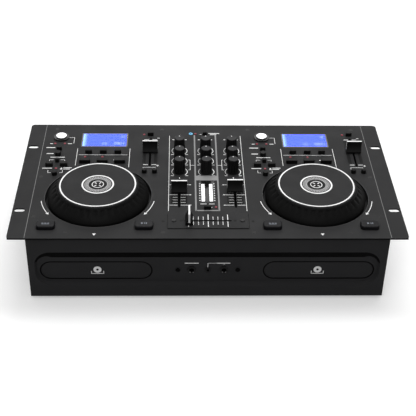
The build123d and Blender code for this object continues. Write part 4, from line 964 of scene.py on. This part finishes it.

# ------------------------------------------------------------ jog wheels
# A soft black scalloped rim, and a flat dark grey disc with a white printed ring and a centre
# label. A faint pale ring round the opening in the plate is a painted highlight of its lit edge.
rim_dark = (0.0025, 0.0025, 0.0025, 1.0)
rim_light = (0.006, 0.006, 0.006, 1.0)
disc_dark = (0.018, 0.018, 0.0185, 1.0)
disc_light = (0.025, 0.025, 0.0255, 1.0)
jog_rim = finish("jog_rim", rim_dark, rim_light, 800.0, 0.45, 0.02 * MM, shine=0.035)
jog_top = finish("jog_top", disc_dark, disc_light, 1400.0, 0.6, 0.02 * MM, shine=0.08)
edge_line = 0.45 * MM
opening_radius = 67.2 * MM
# Faint grey ink laid as a painted highlight along the edge of each opening in the plate.
edge_highlight_dark = (0.035, 0.035, 0.035, 1.0)
edge_highlight_light = (0.06, 0.06, 0.06, 1.0)
edge_highlight_ink = finish("edge_highlight_ink", edge_highlight_dark, edge_highlight_light, 2500.0, 0.5, 0.004 * MM)
opening_highlight = blank("jog_opening_highlight")
for x in decks.values():
    ring(x, wheel_y, opening_radius + edge_line, opening_radius, 128)
lay(opening_highlight, "console", edge_highlight_ink, (0, 0, plate_z))
ring_outer = 48.0 * MM
ring_inner = 46.2 * MM
pale_ink_dark = (0.36, 0.36, 0.36, 1.0)
pale_ink_light = (0.46, 0.46, 0.46, 1.0)
pale_ink = finish("pale_ink", pale_ink_dark, pale_ink_light, 2500.0, 0.5, 0.004 * MM)
label_outer = 20.3 * MM
label_inner = 18.3 * MM
strobe_ring = 7.6 * MM
strobe_bar = 4.0 * MM
dots_round = 48
dot_radii = (12.4 * MM, 14.3 * MM, 16.2 * MM)
for side, x in decks.items():
    dress(f"{side}_jog_wheel", jog_rim, 0.3 * MM)
    dress(f"{side}_jog_disc", jog_top, 0.2 * MM)
    low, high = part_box(f"{side}_jog_disc")
    centre = (low + high) / 2
    ground = blank(f"{side}_jog_label")
    ring(0, 0, label_inner + 0.2 * MM, 0, 72)
    lay(ground, f"{side}_jog", band_ink, (centre.x, centre.y, high.z), thick=0.04 * MM)
    rings = blank(f"{side}_jog_rings")
    ring(0, 0, ring_outer, ring_inner, 128)
    ring(0, 0, label_outer, label_inner, 72)
    # A generic label: four short bars about the centre, like the marks of a strobe disc.
    ring(0, 0, strobe_ring, strobe_ring - 0.9 * MM, 48)
    for step in range(4):
        turn = pi / 4 + step * pi / 2
        bar(strobe_bar * cos(turn), strobe_bar * sin(turn), 3.4 * MM, 1.2 * MM, turn)
    lay(rings, f"{side}_jog", white_ink, (centre.x, centre.y, high.z))
    texture_ring = blank(f"{side}_jog_dots")
    for step in range(dots_round):
        turn = 2 * pi * step / dots_round
        for radius in dot_radii:
            bar(radius * cos(turn), radius * sin(turn), 1.6 * MM, 1.3 * MM, turn)
    lay(texture_ring, f"{side}_jog", pale_ink, (centre.x, centre.y, high.z))

# ------------------------------------------------------------ track knobs
# A low black skirt and cap, with a bright metallised disc set in the top.
chrome_dark = (0.30, 0.30, 0.31, 1.0)
chrome_light = (0.72, 0.72, 0.73, 1.0)
cap_black = (0.010, 0.010, 0.010, 1.0)
cap_grey = (0.018, 0.018, 0.018, 1.0)
cap_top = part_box("left_track_knob")[1].z
chrome = finish("bright_cap", cap_black, cap_grey, 700.0, 0.3, 0.01 * MM)
crown(chrome, cap_top - 0.45 * MM, chrome_dark, chrome_light, metallic=1.0, roughness=0.18)
for side in decks:
    dress(f"{side}_track_knob", chrome)

# ------------------------------------------------------------ pads and small buttons
# Soft rounded pads for CUE and PLAY, with pale symbols on top, and small hard buttons.
pad_dark = (0.004, 0.004, 0.005, 1.0)
pad_light = (0.008, 0.008, 0.009, 1.0)
pad_soft = finish("pad_rubber", pad_dark, pad_light, 900.0, 0.42, 0.02 * MM, shine=0.1)
button_dark = (0.003, 0.003, 0.003, 1.0)
button_light = (0.007, 0.007, 0.007, 1.0)
button_hard = finish(
    "button_plastic", button_dark, button_light, 1100.0, 0.4, 0.01 * MM, shine=0.08
)
symbol_dark = (0.20, 0.22, 0.25, 1.0)
symbol_light = (0.26, 0.28, 0.32, 1.0)
symbol_ink = finish("symbol_ink", symbol_dark, symbol_light, 2500.0, 0.5, 0.004 * MM)
for side in decks:
    for action in ("cue", "play"):
        dress(f"{side}_{action}_button", pad_soft)
        low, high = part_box(f"{side}_{action}_button")
        centre = (low + high) / 2
        symbol = blank(f"{side}_{action}_symbol")
        if action == "cue":
            for step in range(3):
                bar((step - 1) * 3.4 * MM, 0, 2.4 * MM, 1.0 * MM)
            bar(0, -1.8 * MM, 9.2 * MM, 0.7 * MM)
        else:
            triangle(-2.4 * MM, 0, 1.9 * MM, 0.0)
            for step in range(2):
                bar((1.2 + 2.0 * step) * MM, 0, 0.8 * MM, 3.0 * MM)
        lay(symbol, f"{side}_{action}", symbol_ink, (centre.x, centre.y, high.z))
    for bank in ("deck", "pitch"):
        dress(f"{side}_{bank}_buttons", button_hard)
dress("mixer_buttons", button_hard)

# ------------------------------------------------------------ mixer knobs
# Tall fluted knobs of matt black plastic, each with a white dot on its top. Their top faces are
# painted a lighter grey, a painted highlight of the light that falls on them.
knob_dark = (0.005, 0.005, 0.005, 1.0)
knob_light = (0.010, 0.010, 0.010, 1.0)
# The lighter tone of each knob's top face is painted highlight.
knob_lit_top_dark = (0.013, 0.013, 0.014, 1.0)
knob_lit_top_light = (0.021, 0.021, 0.022, 1.0)
knob_matt = finish("knob_plastic", knob_dark, knob_light, 900.0, 0.45, 0.02 * MM, shine=0.08)
knob_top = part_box("left_gain_knob")[1].z
crown(knob_matt, knob_top - 0.05 * MM, knob_lit_top_dark, knob_lit_top_light, roughness=0.35)
dot_radius = 0.75 * MM
dot_place = 4.6 * MM
for column in ("left", "middle", "right"):
    for row in knob_rows:
        dress(f"{column}_{row}_knob", knob_matt)
        low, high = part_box(f"{column}_{row}_knob")
        centre = (low + high) / 2
        dot = blank(f"{column}_{row}_dot")
        ring(0, 0, dot_radius, 0, 20)
        lay(
            dot,
            f"{column}_{row}",
            white_ink,
            (centre.x, centre.y + dot_place, high.z - 0.2 * MM),
            thick=0.3 * MM,
        )

# ------------------------------------------------------------ faders
# Waisted caps of matt black plastic with a white stripe along the ridge and down both ends.
cap_matt = finish("cap_plastic", button_dark, button_light, 900.0, 0.4, 0.02 * MM, shine=0.08)
stripe_wide = 2.2 * MM
stripe_fall = 12.5 * MM
stripe_thick = 0.12 * MM
faders = {"crossfader": "crossfade"}
for side in decks:
    for kind in ("pitch", "channel"):
        faders[f"{side}_{kind}_fader"] = f"{side}_{kind}"
for node, body in faders.items():
    dress(node, cap_matt)
    low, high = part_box(node)
    centre = (low + high) / 2
    across = node == "crossfader"
    long = (high.y - low.y) if across else (high.x - low.x)
    stripe = blank(f"{node}_stripe")
    bar(0, 0, long, stripe_wide, pi / 2 if across else 0.0)
    bpy.ops.mesh.select_all(action="DESELECT")
    sheet = bmesh.from_edit_mesh(stripe.data)
    for edge in sheet.edges:
        middle = (edge.verts[0].co + edge.verts[1].co) / 2
        edge.select_set(middle.length > 0.4 * long)
    bmesh.update_edit_mesh(stripe.data)
    bpy.ops.mesh.extrude_edges_move(TRANSFORM_OT_translate={"value": (0, 0, -stripe_fall)})
    lay(stripe, body, white_ink, (centre.x, centre.y, high.z), thick=stripe_thick)
